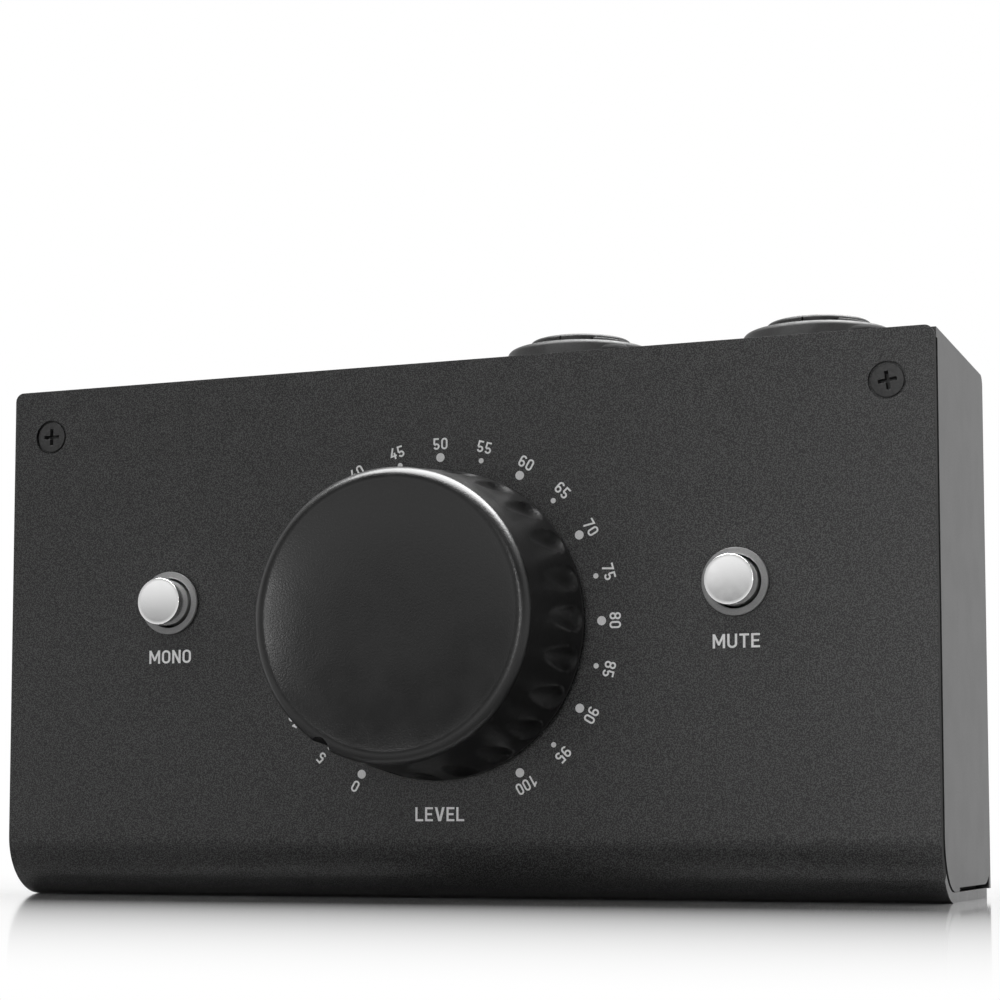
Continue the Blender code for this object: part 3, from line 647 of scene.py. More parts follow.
def make_cover():
    """Front panel and bottom, one sheet with a large round fold between them; its side edges above a height,
    and two low lips inside the side walls, take a near-black coat that paints shade.
    """
    path = [(panel_y, case_top)] + arc(panel_y + fold_radius, fold_radius, fold_radius, 180, 270, 24)
    path.append((cover_high.y, 0))
    bm = bmesh.new()
    verts = [bm.verts.new((-half_width, y, z)) for y, z in path]
    edges = [bm.edges.new(pair) for pair in zip(verts, verts[1:])]
    swept = bmesh.ops.extrude_edge_only(bm, edges=edges)["geom"]
    far = [item for item in swept if isinstance(item, bmesh.types.BMVert)]
    bmesh.ops.translate(bm, verts=far, vec=(2 * half_width, 0, 0))
    corners = [vert for vert in bm.verts if len(vert.link_edges) == 2]
    bmesh.ops.bevel(bm, geom=corners, affect="VERTICES", offset=panel_corner_radius, segments=8, profile=0.5)
    sheet_object = to_object(bm)
    thicken = sheet_object.modifiers.new("sheet", "SOLIDIFY")
    thicken.thickness = sheet
    thicken.offset = 1
    thicken.use_even_offset = True
    bm = bmesh.new()
    bm.from_mesh(evaluated(sheet_object))
    tools = [moved(cylinder(bushing_hole, -sheet - overrun, overrun), on_panel(0, knob_z))]
    for side in (-1, 1):
        hole = cylinder(bezel_sleeve + seat_gap, -sheet - overrun, overrun)
        tools.append(moved(hole, on_panel(side * button_x, button_z)))
    tools += [moved(sunk_hole(sheet + overrun), place) for _, place, _ in case_screws()]
    steps = [("cut", tool) for tool in tools]
    # Side lips inside the walls: dark sheets put so that the slots under the walls look shaded.
    shade_lip_face = half_width - sheet - shade_lip_inset
    for side in (-1, 1):
        low_x, high_x = span(side, shade_lip_face - shade_lip_sheet, shade_lip_face)
        steps.append(("add", block((low_x, panel_y + wall_toe_reach, sheet / 2),
                                   (high_x, back_y - sheet - seat_gap, sheet + shade_lip_rise))))
    bm = carved(bm, *steps)
    # Sideways faces on the sheet's outer edges above the given height, and on the side lips, take slot 1: the
    # dark coat that paints shade in the gap beside the side walls.
    for face in bm.faces:
        middle = face.calc_center_median()
        outer = abs(middle.x) > half_width - face_margin and middle.z > edge_shade_low
        flange = abs(middle.x) < half_width - sheet and middle.z > sheet
        if abs(face.normal.x) > 0.9 and (outer or flange):
            face.material_index = 1
    cover = finer("front_cover", bm, "case_paint", edge=edge_radius)
    # Slot 1: the dark coat that paints edge shade.
    cover.data.materials.append(painted_edge_shade)


def make_chassis():
    """Side walls, connector face, back plate and bottom lip, folded from one sheet."""
    low_z = chassis_low.z - edge_drop
    front_y = panel_y + sheet + cover_gap
    toe_radius = fold_radius - sheet
    back_u = back_y - plate_fold_radius
    low_v = low_z + plate_fold_radius
    high_v = case_top - plate_fold_radius
    outline = arc(front_y + toe_radius, low_z + toe_radius, toe_radius, 180, 270, 20)
    slot_rear = back_y - sheet
    plate_low = sheet - plate_drop
    outline += [(slot_rear, low_z), (slot_rear, plate_low), (back_y, plate_low)]
    outline += arc(back_u, high_v, plate_fold_radius, 0, 90, 10)
    outline.append((front_y, case_top))
    steps = [("add", block((-half_width, chassis_low.y, case_top - sheet),
                           (half_width, front_y + overrun, case_top)))]

    inside = plate_fold_radius - sheet
    front = front_y - overrun
    below = low_z - overrun
    lip_front = back_y - lip_depth
    hollow = [(front, case_top - sheet), (front, below), (lip_front, below), (lip_front, low_z + sheet)]
    hollow += arc(back_u, low_v, inside, 270, 360, 6)
    hollow += arc(back_u, high_v, inside, 0, 90, 6)
    wall = half_width - sheet
    steps.append(("cut", across(hollow, -wall, wall)))

    lip_half = half_width - lip_side_inset
    outside = back_y + overrun
    rounding = [(outside, below), (outside, low_v)] + arc(back_u, low_v, plate_fold_radius, 0, -90, 10)
    rounding.append((back_u, below))
    steps.append(("cut", across(rounding, -lip_half, lip_half)))

    slot_radius = (slot_run ** 2 + slot_rise ** 2) / (2 * slot_rise)
    slot_top = sheet + slot_lift
    sweep = math.degrees(math.asin(slot_run / slot_radius))
    slot = [(panel_y + wall_toe_reach, below), (panel_y + wall_toe_reach, slot_top)]
    slot += arc(slot_rear - slot_run, slot_top + slot_radius, slot_radius, -90, sweep - 90, 10)
    slot.append((slot_rear, below))
    tab_low = node_middle("cover_screw_left").z - tab_below_screw
    for side in (-1, 1):
        low_x, high_x = span(side, wall - tab_width, wall + tab_bite)
        steps.append(("add", block((low_x, chassis_low.y, tab_low),
                                   (high_x, chassis_low.y + sheet, tab_low + tab_height))))
        low_x, high_x = span(side, lip_half, wall)
        steps.append(("cut", block((low_x, lip_front - overrun, below), (high_x, slot_rear, low_v))))
        low_x, high_x = span(side, lip_half, lip_half + relief_width)
        steps.append(("cut", block((low_x, slot_rear - overrun, below), (high_x, outside, low_v))))
        steps.append(("cut", across(slot, *span(side, wall - seat_gap, half_width + overrun))))
    for _, place, _ in case_screws():
        bore = cylinder(screw_hole_radius, -screw_length - overrun, -sheet, 32)
        steps.append(("cut", moved(bore, place)))
    for name, x in sockets.items():
        nose = nose_radius if name.startswith("input") else output_nose
        steps.append(("cut", moved(cylinder(nose + seat_gap, -sheet - overrun, overrun, 80), on_top(x))))
        for side in (1, -1):
            if name.startswith("input"):
                hole = cylinder(screw_hole_radius, -sheet - overrun, overrun, 32)
            else:
                hole = sunk_hole(sheet + overrun)
            steps.append(("cut", moved(hole, on_top(x + side * screw_spot_x, -side * screw_spot_y))))
    steps.append(("cut", moved(cylinder(mini_hole, -sheet - overrun, overrun), on_top(mini_x))))
    bm = carved(across(outline, -half_width, half_width), *steps)
    finer("rear_chassis", bm, "case_paint", side_coat, edge_radius)


def fluted_radius(radius, angle, height):
    """The side's radius where a round cutter, run in from the front, has left a flute."""
    pitch = 2 * math.pi / flute_count
    offset = (angle / pitch + 0.5) % 1 - 0.5
    reach = radius * math.sin(offset * pitch)
    if abs(reach) >= flute_cutter_radius:
        return radius
    floor = knob_base_radius - flute_depth + flute_cutter_radius
    floor -= math.sqrt(flute_cutter_radius ** 2 - reach ** 2)
    below = max(knob_lift + knob_base_band + flute_run_out - height, 0)
    return min(radius, floor + flute_depth * (below / flute_run_out) ** 3)


def knob_profile():
    """The knob's section: dished face, round lip, tapering side, hollow with a boss."""
    lip_u = knob_rim_radius - knob_lip_radius
    lip_v = knob_height - knob_lip_radius
    lip = arc(lip_u, lip_v, knob_lip_radius, knob_lip_end, 0, 24)
    crease, crease_height = lip[0]
    dish_low = knob_height - knob_dish_low
    profile = []
    for index in range(24):
        share = index / 24
        profile.append((crease * share, dish_low + (crease_height - dish_low) * share ** knob_dish_power))
    profile += lip
    side_low = knob_lift + knob_base_band
    for row in range(1, knob_rows + 1):
        share = 1 - (1 - row / knob_rows) ** knob_row_power
        radius = knob_rim_radius + (knob_base_radius - knob_rim_radius) * share
        profile.append((radius, lip_v + (side_low - lip_v) * share))
    profile += arc(knob_base_radius - knob_base_edge, knob_lift + knob_base_edge, knob_base_edge, 0, -90, 4)
    ceiling = dish_low - knob_face_wall
    profile += [(knob_base_radius - knob_wall, knob_lift), (knob_rim_radius - knob_wall, ceiling),
                (boss_radius, ceiling), (boss_radius, boss_lift), (boss_bore, boss_lift),
                (boss_bore, ceiling), (0, ceiling)]
    return profile


def make_knob():
    """The knob, with a ring of flutes in its side and a notch in its lip."""
    lip_v = knob_height - knob_lip_radius
    bm = lathe(knob_profile(), flute_count * flute_columns)
    for vert in bm.verts:
        radius = math.hypot(vert.co.x, vert.co.y)
        if radius > knob_rim_radius and knob_lift + knob_base_band - 1e-6 <= vert.co.z < lip_v:
            scale = fluted_radius(radius, math.atan2(vert.co.x, vert.co.y), vert.co.z) / radius
            vert.co.x *= scale
            vert.co.y *= scale
    reach = knob_rim_radius - notch_depth + notch_radius
    notch = cylinder(notch_radius, knob_height - notch_length, knob_height + overrun, 64)
    place = shifted(reach * math.sin(notch_angle), reach * math.cos(notch_angle))
    bm = carved(bm, ("cut", moved(notch, place)))
    bm.transform(on_panel(0, knob_z))
    finer("knob_shell", bm, "knob_plastic", angle=40, body="knob")


def make_button(side, x):
    """The cap with its slightly hollow face, and the trim ring round it."""
    top = panel_y - cap_low.y
    low = panel_y - cap_high.y
    profile = []
    flat = cap_radius - cap_edge
    for index in range(cap_rows + 1):
        share = index / cap_rows
        profile.append((flat * share, top - cap_hollow * (1 - share ** 2)))
    profile += arc(flat, top - cap_edge, cap_edge, 90, 0, 8)[1:]
    profile += [(cap_radius, low), (cap_socket_radius, low), (cap_socket_radius, low + cap_socket_depth),
                (0, low + cap_socket_depth)]
    cap = moved(lathe(profile, 96), on_panel(x, button_z))
    finer(f"{side}_cap", cap, "button_metal", body=f"{side}_button")

    ring_low, ring_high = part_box(f"{side}_bezel")
    top = panel_y - ring_low.y
    low = panel_y - ring_high.y
    outline = rounded([
        (bezel_radius, top, bezel_edge), (bezel_radius, seat_gap, 0), (bezel_sleeve, seat_gap, 0),
        (bezel_sleeve, low, bezel_edge), (bezel_bore, low, bezel_edge), (bezel_bore, top, bezel_edge),
    ])
    ring = moved(lathe(outline, 96, ring=True), on_panel(x, button_z))
    finer(f"{side}_bezel", ring, "bezel_plastic")


def make_spring(side, x):
    """The return spring behind a button, with a mesh of its own."""
    near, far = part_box(f"{side}_spring")
    low = panel_y - far.y + spring_wire
    high = panel_y - near.y - spring_wire
    count = spring_turns * turn_points
    bm = bmesh.new()
    rings = []
    for index in range(count + 1):
        angle = 2 * math.pi * index / turn_points
        height = low + (high - low) * index / count
        ring = []
        for point in range(wire_points):
            around = 2 * math.pi * point / wire_points
            reach = spring_radius + spring_wire * math.cos(around)
            ring.append(bm.verts.new((reach * math.cos(angle), reach * math.sin(angle),
                                      height + spring_wire * math.sin(around))))
        rings.append(ring)
    for first, second in zip(rings, rings[1:]):
        for point in range(wire_points):
            after = (point + 1) % wire_points
            bm.faces.new((first[point], first[after], second[after], second[point]))
    bm.faces.new(rings[0])
    bm.faces.new(rings[-1])
    bmesh.ops.recalc_face_normals(bm, faces=bm.faces)
    spring = finer(f"{side}_spring", moved(bm, on_panel(x, button_z)), "bright_metal")
    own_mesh(spring)


def contact_places():
    """The three contacts of a socket: each one's number and its place about the socket's middle."""
    for index in range(3):
        angle = math.radians(90 + 120 * index)
        yield index + 1, contact_circle * math.cos(angle), contact_circle * math.sin(angle)


def housing(name, x):
    """The flange and body of a socket below the connector face."""
    low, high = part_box(name)
    flange_top = -sheet - socket_top_gap
    flange = block((low.x - x, low.y, flange_top - flange_thickness), (high.x - x, high.y, flange_top))
    half = input_bore + socket_wall
    body = block((-half, -half, low.z - case_top), (half, half, flange_top - seat_gap))
    holes = []
    for side in (1, -1):
        bore = cylinder(screw_hole_radius, -screw_length - overrun, overrun, 24)
        holes.append(("cut", moved(bore, shifted(side * screw_spot_x, -side * screw_spot_y))))
    return flange, [("add", body), *holes], low.z - case_top


def make_input(name, x):
    """A combination socket: a nose with a rounded rim, and the core with its slits and bores."""
    base, steps, low = housing(f"{name}_shell", x)
    root = -sheet - socket_top_gap - flange_thickness / 2
    nose = rounded([(nose_top_radius, nose_rise, nose_round), (nose_radius, seat_gap, nose_foot),
                    (nose_radius, root, 0), (0, root, 0), (0, nose_rise, 0)], 8)
    floor = nose_rise - input_bore_depth
    steps += [("add", lathe(nose[-1:] + nose[:-1], 128)), ("cut", round_mouth(input_bore, floor, nose_rise)),
              ("cut", cylinder(jack_bore, low + socket_floor, floor + overrun))]
    bm = carved(base, *steps)
    bm.transform(on_top(x))
    finer(f"{name}_shell", bm, "socket_plastic", edge=socket_edge, angle=40)

    core_low = floor + seat_gap
    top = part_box(f"{name}_core")[1].z - case_top
    outline = rounded([(core_radius, top, core_round), (core_radius, core_low, 0), (jack_bore, core_low, 0),
                       (jack_bore, top, core_round)], 8)
    tools = []
    hole_low = top - contact_depth
    for _, u, v in contact_places():
        hole = cylinder(contact_hole, hole_low, top + overrun, 32)
        tools.append(("cut", moved(hole, shifted(u, v))))
    key = block((-key_width / 2, core_radius - key_depth, hole_low),
                (key_width / 2, core_radius + overrun, top + overrun))
    slit = block((core_radius - slit_depth, -slit_width / 2, top - slit_low),
                 (core_radius + overrun, slit_width / 2, top - slit_high))
    window = block((core_radius - slit_depth, -window_width / 2, -window_width / 2),
                   (core_radius + overrun, window_width / 2, window_width / 2))
    tools += [("cut", key), ("cut", moved(slit, rotated(z=slit_angle))),
              ("cut", moved(window, rotated(z=window_angle) @ shifted(z=top - window_drop) @ rotated(x=45)))]
    bm = carved(lathe(outline, 128, ring=True), *tools)
    bm.transform(on_top(x))
    finer(f"{name}_core", bm, "socket_plastic", edge=socket_edge, angle=40)
    plate = arc(0, 0, latch_radius, latch_start, latch_stop, 24)
    plate += arc(0, 0, core_radius + latch_gap, latch_stop, latch_start, 24)
    latch = prism(plate, floor + seat_gap, top - latch_drop)
    latch.transform(on_top(x))
    piece(f"{name}_latch_plate", latch, "case", latch_plastic, edge=latch_edge)
    pan_screw(f"{name}_screw_front", on_top(x + screw_spot_x, -screw_spot_y), 20)
    pan_screw(f"{name}_screw_rear", on_top(x - screw_spot_x, screw_spot_y), 55)


def make_output(name, x):
    """A three-pin socket: a cup nearly flush with the connector face, and its pins."""
    base, steps, _ = housing(f"{name}_shell", x)
    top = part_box(f"{name}_shell")[1].z - case_top
    root = -sheet - socket_top_gap - flange_thickness / 2
    floor = top - cup_depth
    key = block((-key_width / 2, -cup_radius - key_depth, floor), (key_width / 2, 0, top + overrun))
    steps += [("add", peg(output_nose, root, top, output_edge, 6)),
              ("cut", round_mouth(cup_radius, floor, top)), ("cut", key)]
    pin_low, pin_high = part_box(f"{name}_pin_1")
    pin_radius = (pin_high.x - pin_low.x) / 2
    hole_low = pin_low.z - case_top - seat_gap
    for _, u, v in contact_places():
        hole = cylinder(pin_radius + seat_gap, hole_low, floor + overrun, 24)
        steps.append(("cut", moved(hole, shifted(u, v))))
    bm = carved(base, *steps)
    bm.transform(on_top(x))
    finer(f"{name}_shell", bm, "socket_plastic", edge=socket_edge, angle=40)
    for index, u, v in contact_places():
        pin = moved(peg(pin_radius, pin_low.z, pin_high.z, pin_round, 8, 48), shifted(x + u, v))
        finer(f"{name}_pin_{index}", pin, "bright_metal")
    sunk_screw(f"{name}_screw_front", on_top(x + screw_spot_x, -screw_spot_y), 30)
    sunk_screw(f"{name}_screw_rear", on_top(x - screw_spot_x, screw_spot_y), 65)


def make_mini_jack():
    """The small round jack between the inputs, with its knurled nut."""
    low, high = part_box("mini_jack_body")
    top = high.z - case_top
    flange_top = -sheet - socket_top_gap
    base = block((low.x - mini_x, low.y, low.z - case_top), (high.x - mini_x, high.y, flange_top))
    bush = peg(thread_radius, flange_top - seat_gap, top, mini_round, 5, 64)
    bore = round_mouth(mini_bore, top - mini_depth, top, mini_round, 5, 64)
    bm = carved(base, ("add", bush), ("cut", bore))
    bm.transform(on_top(mini_x))
    finer("mini_jack_body", bm, "socket_plastic", edge=mini_edge, angle=40)

    low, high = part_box("mini_jack_nut")
    radius = (high.x - low.x) / 2
    outline = rounded([(radius, high.z - case_top, mini_round), (radius, low.z - case_top, 0),
                       (mini_hole, low.z - case_top, 0), (mini_hole, high.z - case_top, nut_edge)])
    nut = lathe(outline, knurl_count, ring=True)
    for vert in nut.verts:
        if math.hypot(vert.co.x, vert.co.y) > radius - 1e-5:
            column = round(math.atan2(vert.co.y, vert.co.x) / (2 * math.pi) * knurl_count)
            knurl = 1 - knurl_depth / radius * (column % 2)
            vert.co.x *= knurl
            vert.co.y *= knurl
    nut.transform(on_top(mini_x))
    finer("mini_jack_nut", nut, "bright_metal")


def make_feet():
    """The four rubber feet on the back plate."""
    for index in range(1, 5):
        low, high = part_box(f"foot_{index}")
        middle = (low + high) / 2
        radius = (high.x - low.x) / 2
        top = high.y - back_y
        bottom = low.y - back_y
        outline = rounded([(0, top, 0), (radius - foot_taper, top, foot_round), (radius, bottom, foot_edge),
                           (0, bottom, 0)])
        place = shifted(middle.x, back_y, middle.z) @ rotated(x=-90)
        finer(f"foot_{index}", moved(lathe(outline, 64), place), "rubber")


def ribbon(points, closed=False):
    """A stroke of even width along a centre line, one unit thick."""
    count = len(points)
    bm = bmesh.new()
    rows = []
    for index in range(count):
        here = Vector(points[index])
        before = here - Vector(points[index - 1]) if closed or index else None
        after = Vector(points[(index + 1) % count]) - here if closed or index < count - 1 else None
        first = (before or after).normalized()
        last = (after or before).normalized()
        along = (first + last).normalized()
        side = Vector((-along.y, along.x)) * letter_stroke / 2 / along.dot(first)
        corners = (here + side, here - side)
        rows.append([bm.verts.new((*corner, level)) for level in (0, 1) for corner in corners])
    for index in range(count if closed else count - 1):
        low_a, low_b, high_a, high_b = rows[index]
        far_low_a, far_low_b, far_high_a, far_high_b = rows[(index + 1) % count]
        bm.faces.new((low_a, low_b, far_low_b, far_low_a))
        bm.faces.new((high_a, far_high_a, far_high_b, high_b))
        bm.faces.new((low_a, far_low_a, far_high_a, high_a))
        bm.faces.new((low_b, high_b, far_high_b, far_low_b))
    if not closed:
        for low_a, low_b, high_a, high_b in (rows[0], rows[-1]):
            bm.faces.new((low_a, low_b, high_b, high_a))
    bmesh.ops.recalc_face_normals(bm, faces=bm.faces)
    return bm


def loop(width, low, high):
    """The closed centre line of a narrow round letter."""
    inset = letter_stroke / 2
    radius = width / 2 - inset
    return arc(width / 2, high - inset - radius, radius, 0, 180, 14) + arc(
        width / 2, low + inset + radius, radius, 180, 360, 14)


def make_glyphs():
    """Narrow upright letters and figures, one unit high: each a width and a body."""
    w = letter_stroke
    a = w / 2
    wide = figure_width
    mid = wide / 2
    r = mid - a
    left, right, top = a, wide - a, 1 - a
    hook = [(left, 0.30)] + arc(mid, top - r, r, 180, 25, 14)
    six = carved(ribbon(loop(wide, 0, 0.60), True), ("add", ribbon(hook)))
    nine = six.copy()
    nine.transform(shifted(wide, 1) @ rotated(z=180))
    bowl = (top - a) / 4
    strokes = {
        "1": [[(0.36, 0), (0.36, 1)], [(0.06, 0.70), (0.40, 0.915)]],
        "2": [[(left, top - r - 0.04)] + arc(mid, top - r, r, 180, -25, 16) + [(left + 0.03, a), (wide, a)]],
        "3": [arc(mid, top - bowl, bowl, 165, -90, 16), arc(mid, a + bowl, bowl, 90, -165, 16)],
        "4": [[(0.36, 1), (left, 0.29), (wide, 0.29)], [(0.40, 0), (0.40, 0.56)]],
        "5": [[(right, top), (left + 0.02, top), (left, 0.47)], arc(mid, a + r, r, 150, -160, 18)],
        "7": [[(0, top), (right - 0.01, top), (0.20, 0)]],
    }
    glyphs = {"6": (wide, six), "9": (wide, nine)}
    for figure, lines in strokes.items():
        first, *others = [ribbon(line) for line in lines]
        glyphs[figure] = (wide, carved(first, *[("add", bm) for bm in others]) if others else first)
    glyphs["0"] = (wide, ribbon(loop(wide, 0, 1), True))
    eight = carved(ribbon(loop(wide, 0, 0.585), True), ("add", ribbon(loop(wide, 0.43, 1), True)))
    glyphs["8"] = (wide, eight)
    glyphs["O"] = (0.62, ribbon(loop(0.62, 0, 1), True))
    bend = 0.64 / 2 - a
    cup = [(a, 1)] + arc(0.32, a + bend, bend, 180, 360, 16) + [(0.64 - a, 1)]
    glyphs["U"] = (0.64, ribbon(cup))
    outlines = {
        "L": (0.56, [(0, 0), (0.56, 0), (0.56, w), (w, w), (w, 1), (0, 1)]),
        "E": (0.56, [(0, 0), (0.56, 0), (0.56, w), (w, w), (w, 0.5 - a), (0.50, 0.5 - a), (0.50, 0.5 + a),
                     (w, 0.5 + a), (w, 1 - w), (0.56, 1 - w), (0.56, 1), (0, 1)]),
        "V": (0.70, [(0, 1), (0.25, 0), (0.45, 0), (0.70, 1), (0.52, 1), (0.35, 0.28), (0.18, 1)]),
        "T": (0.62, [(0, 1), (0, 1 - w), (0.31 - a, 1 - w), (0.31 - a, 0), (0.31 + a, 0), (0.31 + a, 1 - w),
                     (0.62, 1 - w), (0.62, 1)]),
        "M": (0.80, [(0, 0), (w, 0), (w, 0.66), (0.345, 0.20), (0.455, 0.20), (0.80 - w, 0.66), (0.80 - w, 0),
                     (0.80, 0), (0.80, 1), (0.80 - w, 1), (0.40, 0.44), (w, 1), (0, 1)]),
        "N": (0.62, [(0, 0), (w, 0), (w, 0.66), (0.62 - w, 0), (0.62, 0), (0.62, 1), (0.62 - w, 1),
                     (0.62 - w, 0.34), (w, 1), (0, 1)]),
    }
    for letter, (width, outline) in outlines.items():
        glyphs[letter] = (width, prism(outline, 0, 1))
    return glyphs


def written(text, size, centre, turn=0):
    """Text laid on the panel as a thin film of ink, fitted to a size (width, height) about a centre."""
    parts = []
    end = 0
    for letter in text:
        width, shape = glyphs[letter]
        bm = shape.copy()
        bm.transform(shifted(end))
        parts.append(bm)
        end += width + letter_gap
    bm = joined(parts)
    end -= letter_gap
    x, z = centre
    fit = Matrix.Diagonal((size[0] / end, size[1], ink, 1)) @ shifted(-end / 2, -0.5)
    bm.transform(on_panel(x, z) @ rotated(z=turn) @ fit)
    return bm


def joined(parts):
    """Several bodies as one."""
    whole = bmesh.new()
    for bm in parts:
        mesh = bpy.data.meshes.new("part")
        bm.to_mesh(mesh)
        bm.free()
        whole.from_mesh(mesh)
        bpy.data.meshes.remove(mesh)
    return whole


def make_scale():
    """Dots and numbers round the knob, and the words under the controls."""
    dots = []
    numbers = []
    for value in range(0, scale_top + 1, scale_step):
        angle = math.radians(scale_start + scale_sweep * value / scale_top)
        outward = Vector((math.sin(angle), math.cos(angle)))
        spot = outward * dot_circle
        radius = big_dot_radius if value % (2 * scale_step) == 0 else small_dot_radius
        dots.append(moved(cylinder(radius, 0, ink, 32), on_panel(spot.x, knob_z + spot.y)))
        spot = outward * number_circle
        turn = -math.degrees(angle)
        size = (number_widths[len(str(value)) - 1], number_height)
        numbers.append(written(str(value), size, (spot.x, knob_z + spot.y), turn))
    piece("dial_dots", joined(dots), "case", dot_ink)
    piece("dial_numbers", joined(numbers), "case", letter_ink)
    for word, width, height, x, z in words:
        piece(f"word_{word.lower()}", written(word, (width, height), (x, z)), "case", letter_ink)


glyphs = make_glyphs()
sockets = {}
for socket_name in ("output_left", "output_right", "input_left", "input_right"):
    sockets[socket_name] = node_middle(f"{socket_name}_shell").x
mini_x = node_middle("mini_jack_body").x

make_cover()
make_chassis()
for screw_name, screw_place, screw_turn in case_screws():
    sunk_screw(screw_name, screw_place, screw_turn)
make_knob()
for button_name, button_place in (("mute", button_x), ("mono", -button_x)):
    make_button(button_name, button_place)
    make_spring(button_name, button_place)
for socket_name, socket_x in sockets.items():
    make_socket = make_input if socket_name.startswith("input") else make_output
    make_socket(socket_name, socket_x)
make_mini_jack()
make_feet()
make_scale()

slot_of = {row["node"]: row["material_slot"] for row in frame["record"]["subparts"]}
for node_name, node in frame["nodes"].items():
    finish = finishes[slot_of[node_name]]
    if node.material_slots:
        node.material_slots[0].material = finish
    else:
        node.data.materials.append(finish)


def stage_nodes(tree):
    """Clears a node tree and gives a short way to add to it: i0=, i1= and so on fill sockets by number."""
    tree.nodes.clear()

    def node(kind, operation=None, **inputs):
        made = tree.nodes.new(kind)
        if operation:
            made.operation = operation
        for socket, value in inputs.items():
            numbered = socket[0] == "i" and socket[1:].isdigit()
            place = made.inputs[int(socket[1:]) if numbered else socket]
            if isinstance(value, bpy.types.NodeSocket):
                tree.links.new(value, place)
            else:
                place.default_value = value
        return made
    return node


def make_floor():
    """A pale polished floor: it mirrors the object's foot at a low angle, and is white further away."""
    bm = bmesh.new()
    bmesh.ops.create_grid(bm, x_segments=1, y_segments=1, size=3)
    floor = to_object(bm, "floor")
    into_scene(floor)
    material = bpy.data.materials.new("pale_floor")
    material.use_nodes = True
    node = stage_nodes(material.node_tree)
    middle = (cad_box[0] + cad_box[1]) / 2
    half = (cad_box[1] - cad_box[0]) / 2
    place = node("ShaderNodeTexCoord").outputs["Object"]
    aside = node("ShaderNodeVectorMath", "SUBTRACT", i0=place, i1=(middle.x, middle.y, 0)).outputs[0]
    aside = node("ShaderNodeVectorMath", "ABSOLUTE", i0=aside).outputs[0]
    aside = node("ShaderNodeVectorMath", "SUBTRACT", i0=aside, i1=(half.x, half.y, 0)).outputs[0]
    aside = node("ShaderNodeVectorMath", "MAXIMUM", i0=aside, i1=(0, 0, 0)).outputs[0]
    away = node("ShaderNodeVectorMath", "LENGTH", i0=aside).outputs["Value"]
    near = node("ShaderNodeMapRange", Value=away)
    near.inputs["From Max"].default_value = floor_fade
    near.inputs["To Min"].default_value = 1
    near.inputs["To Max"].default_value = 0
    near = node("ShaderNodeMath", "POWER", i0=near.outputs["Result"], i1=floor_fade_power).outputs[0]
    far = node("ShaderNodeMath", "SUBTRACT", i0=1.0, i1=near).outputs[0]
    seen = node("ShaderNodeLightPath").outputs
    plain = node("ShaderNodeMath", "MAXIMUM", i0=seen["Is Camera Ray"], i1=seen["Is Glossy Ray"]).outputs[0]
    share = node("ShaderNodeMath", "MULTIPLY", i0=far, i1=plain).outputs[0]
    ground = node("ShaderNodeBsdfPrincipled", Roughness=0.07)
    ground.inputs["Base Color"].default_value = (*grey(floor_grey), 1)
    white = node("ShaderNodeEmission", Strength=1.0).outputs[0]
    blend = node("ShaderNodeMixShader", i0=share, i1=ground.outputs[0], i2=white).outputs[0]
    node("ShaderNodeOutputMaterial", Surface=blend)
    floor.data.materials.append(material)


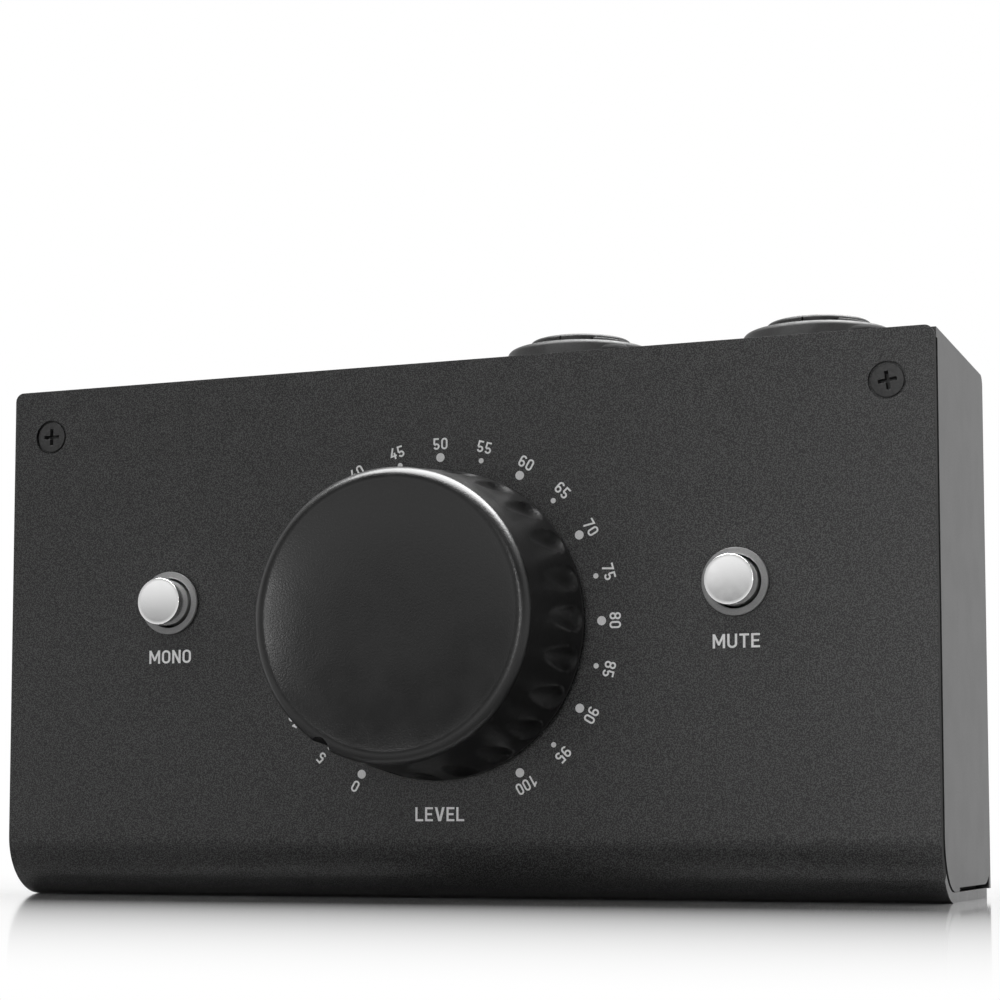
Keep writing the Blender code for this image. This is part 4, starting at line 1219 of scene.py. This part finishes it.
def make_world():
    """White for the camera and glass, for gloss a white that dims high in front, and soft grey as light."""
    world = bpy.data.worlds.new("studio")
    bpy.context.scene.world = world
    world.use_nodes = True
    node = stage_nodes(world.node_tree)
    paper = (1, 1, 1, 1)
    light = node("ShaderNodeBackground", Color=paper, Strength=world_light).outputs[0]
    white = node("ShaderNodeBackground", Color=paper, Strength=1.0).outputs[0]
    way = node("ShaderNodeSeparateXYZ", i0=node("ShaderNodeTexCoord").outputs["Generated"]).outputs
    ahead = node("ShaderNodeMapRange", Value=way["Y"])
    high = node("ShaderNodeMapRange", Value=way["Z"])
    for ramp, start, stop in ((ahead, -0.25, -0.75), (high, -0.05, 0.25)):
        ramp.interpolation_type = "SMOOTHSTEP"
        ramp.inputs["From Min"].default_value = start
        ramp.inputs["From Max"].default_value = stop
    room = node("ShaderNodeMath", "MULTIPLY", i0=ahead.outputs["Result"],
                i1=high.outputs["Result"]).outputs[0]
    dim = node("ShaderNodeMath", "MULTIPLY_ADD", i0=room, i1=-room_dimming, i2=1.0).outputs[0]
    mirrored = node("ShaderNodeBackground", Color=paper, Strength=dim).outputs[0]
    seen = node("ShaderNodeLightPath").outputs
    clear = node("ShaderNodeMath", "MAXIMUM", i0=seen["Is Camera Ray"],
                 i1=seen["Is Transmission Ray"]).outputs[0]
    lit = node("ShaderNodeMixShader", i0=seen["Is Glossy Ray"], i1=light, i2=mirrored).outputs[0]
    both = node("ShaderNodeMixShader", i0=clear, i1=lit, i2=white).outputs[0]
    node("ShaderNodeOutputWorld", Surface=both)


def soft_light(name, place, aim, width, height, watts, gloss_only=False):
    """An oblong lamp that faces a point; gloss_only makes it show in gloss and cast no light."""
    data = bpy.data.lights.new(name, "AREA")
    data.shape = "RECTANGLE"
    data.size = width
    data.size_y = height
    data.energy = watts
    lamp = bpy.data.objects.new(name, data)
    lamp.location = place
    lamp.rotation_euler = (Vector(aim) - Vector(place)).to_track_quat("-Z", "Y").to_euler()
    lamp.visible_diffuse = not gloss_only
    into_scene(lamp)


def make_camera():
    """The camera of the photograph, as fitted to the case's edges and the dial's marks."""
    data = bpy.data.cameras.new("camera")
    data.sensor_width = 36
    data.lens = 84.377
    data.shift_x = 0.003
    data.shift_y = 0.140
    data.clip_start = 0.01
    data.clip_end = 20
    camera = bpy.data.objects.new("camera", data)
    camera.location = (0.13392, -0.34648, 0.01061)
    camera.rotation_euler = (math.radians(90 + 4.59), 0, math.radians(20.95))
    into_scene(camera)
    bpy.context.scene.camera = camera


make_floor()
make_world()
soft_light("overhead", (0.15, 0.30, 0.75), (0, 0, 0.04), width=0.6, height=0.4, watts=4)
soft_light("ceiling", (0.03, -0.04, 0.75), (0, 0, 0.04), width=1.2, height=0.65, watts=42, gloss_only=True)
soft_light("front", (0.15, -1.24, 0.165), (-0.02, -0.05, 0.04), width=0.13, height=0.22, watts=2.1)
make_camera()
bpy.context.scene.view_settings.view_transform = "Standard"
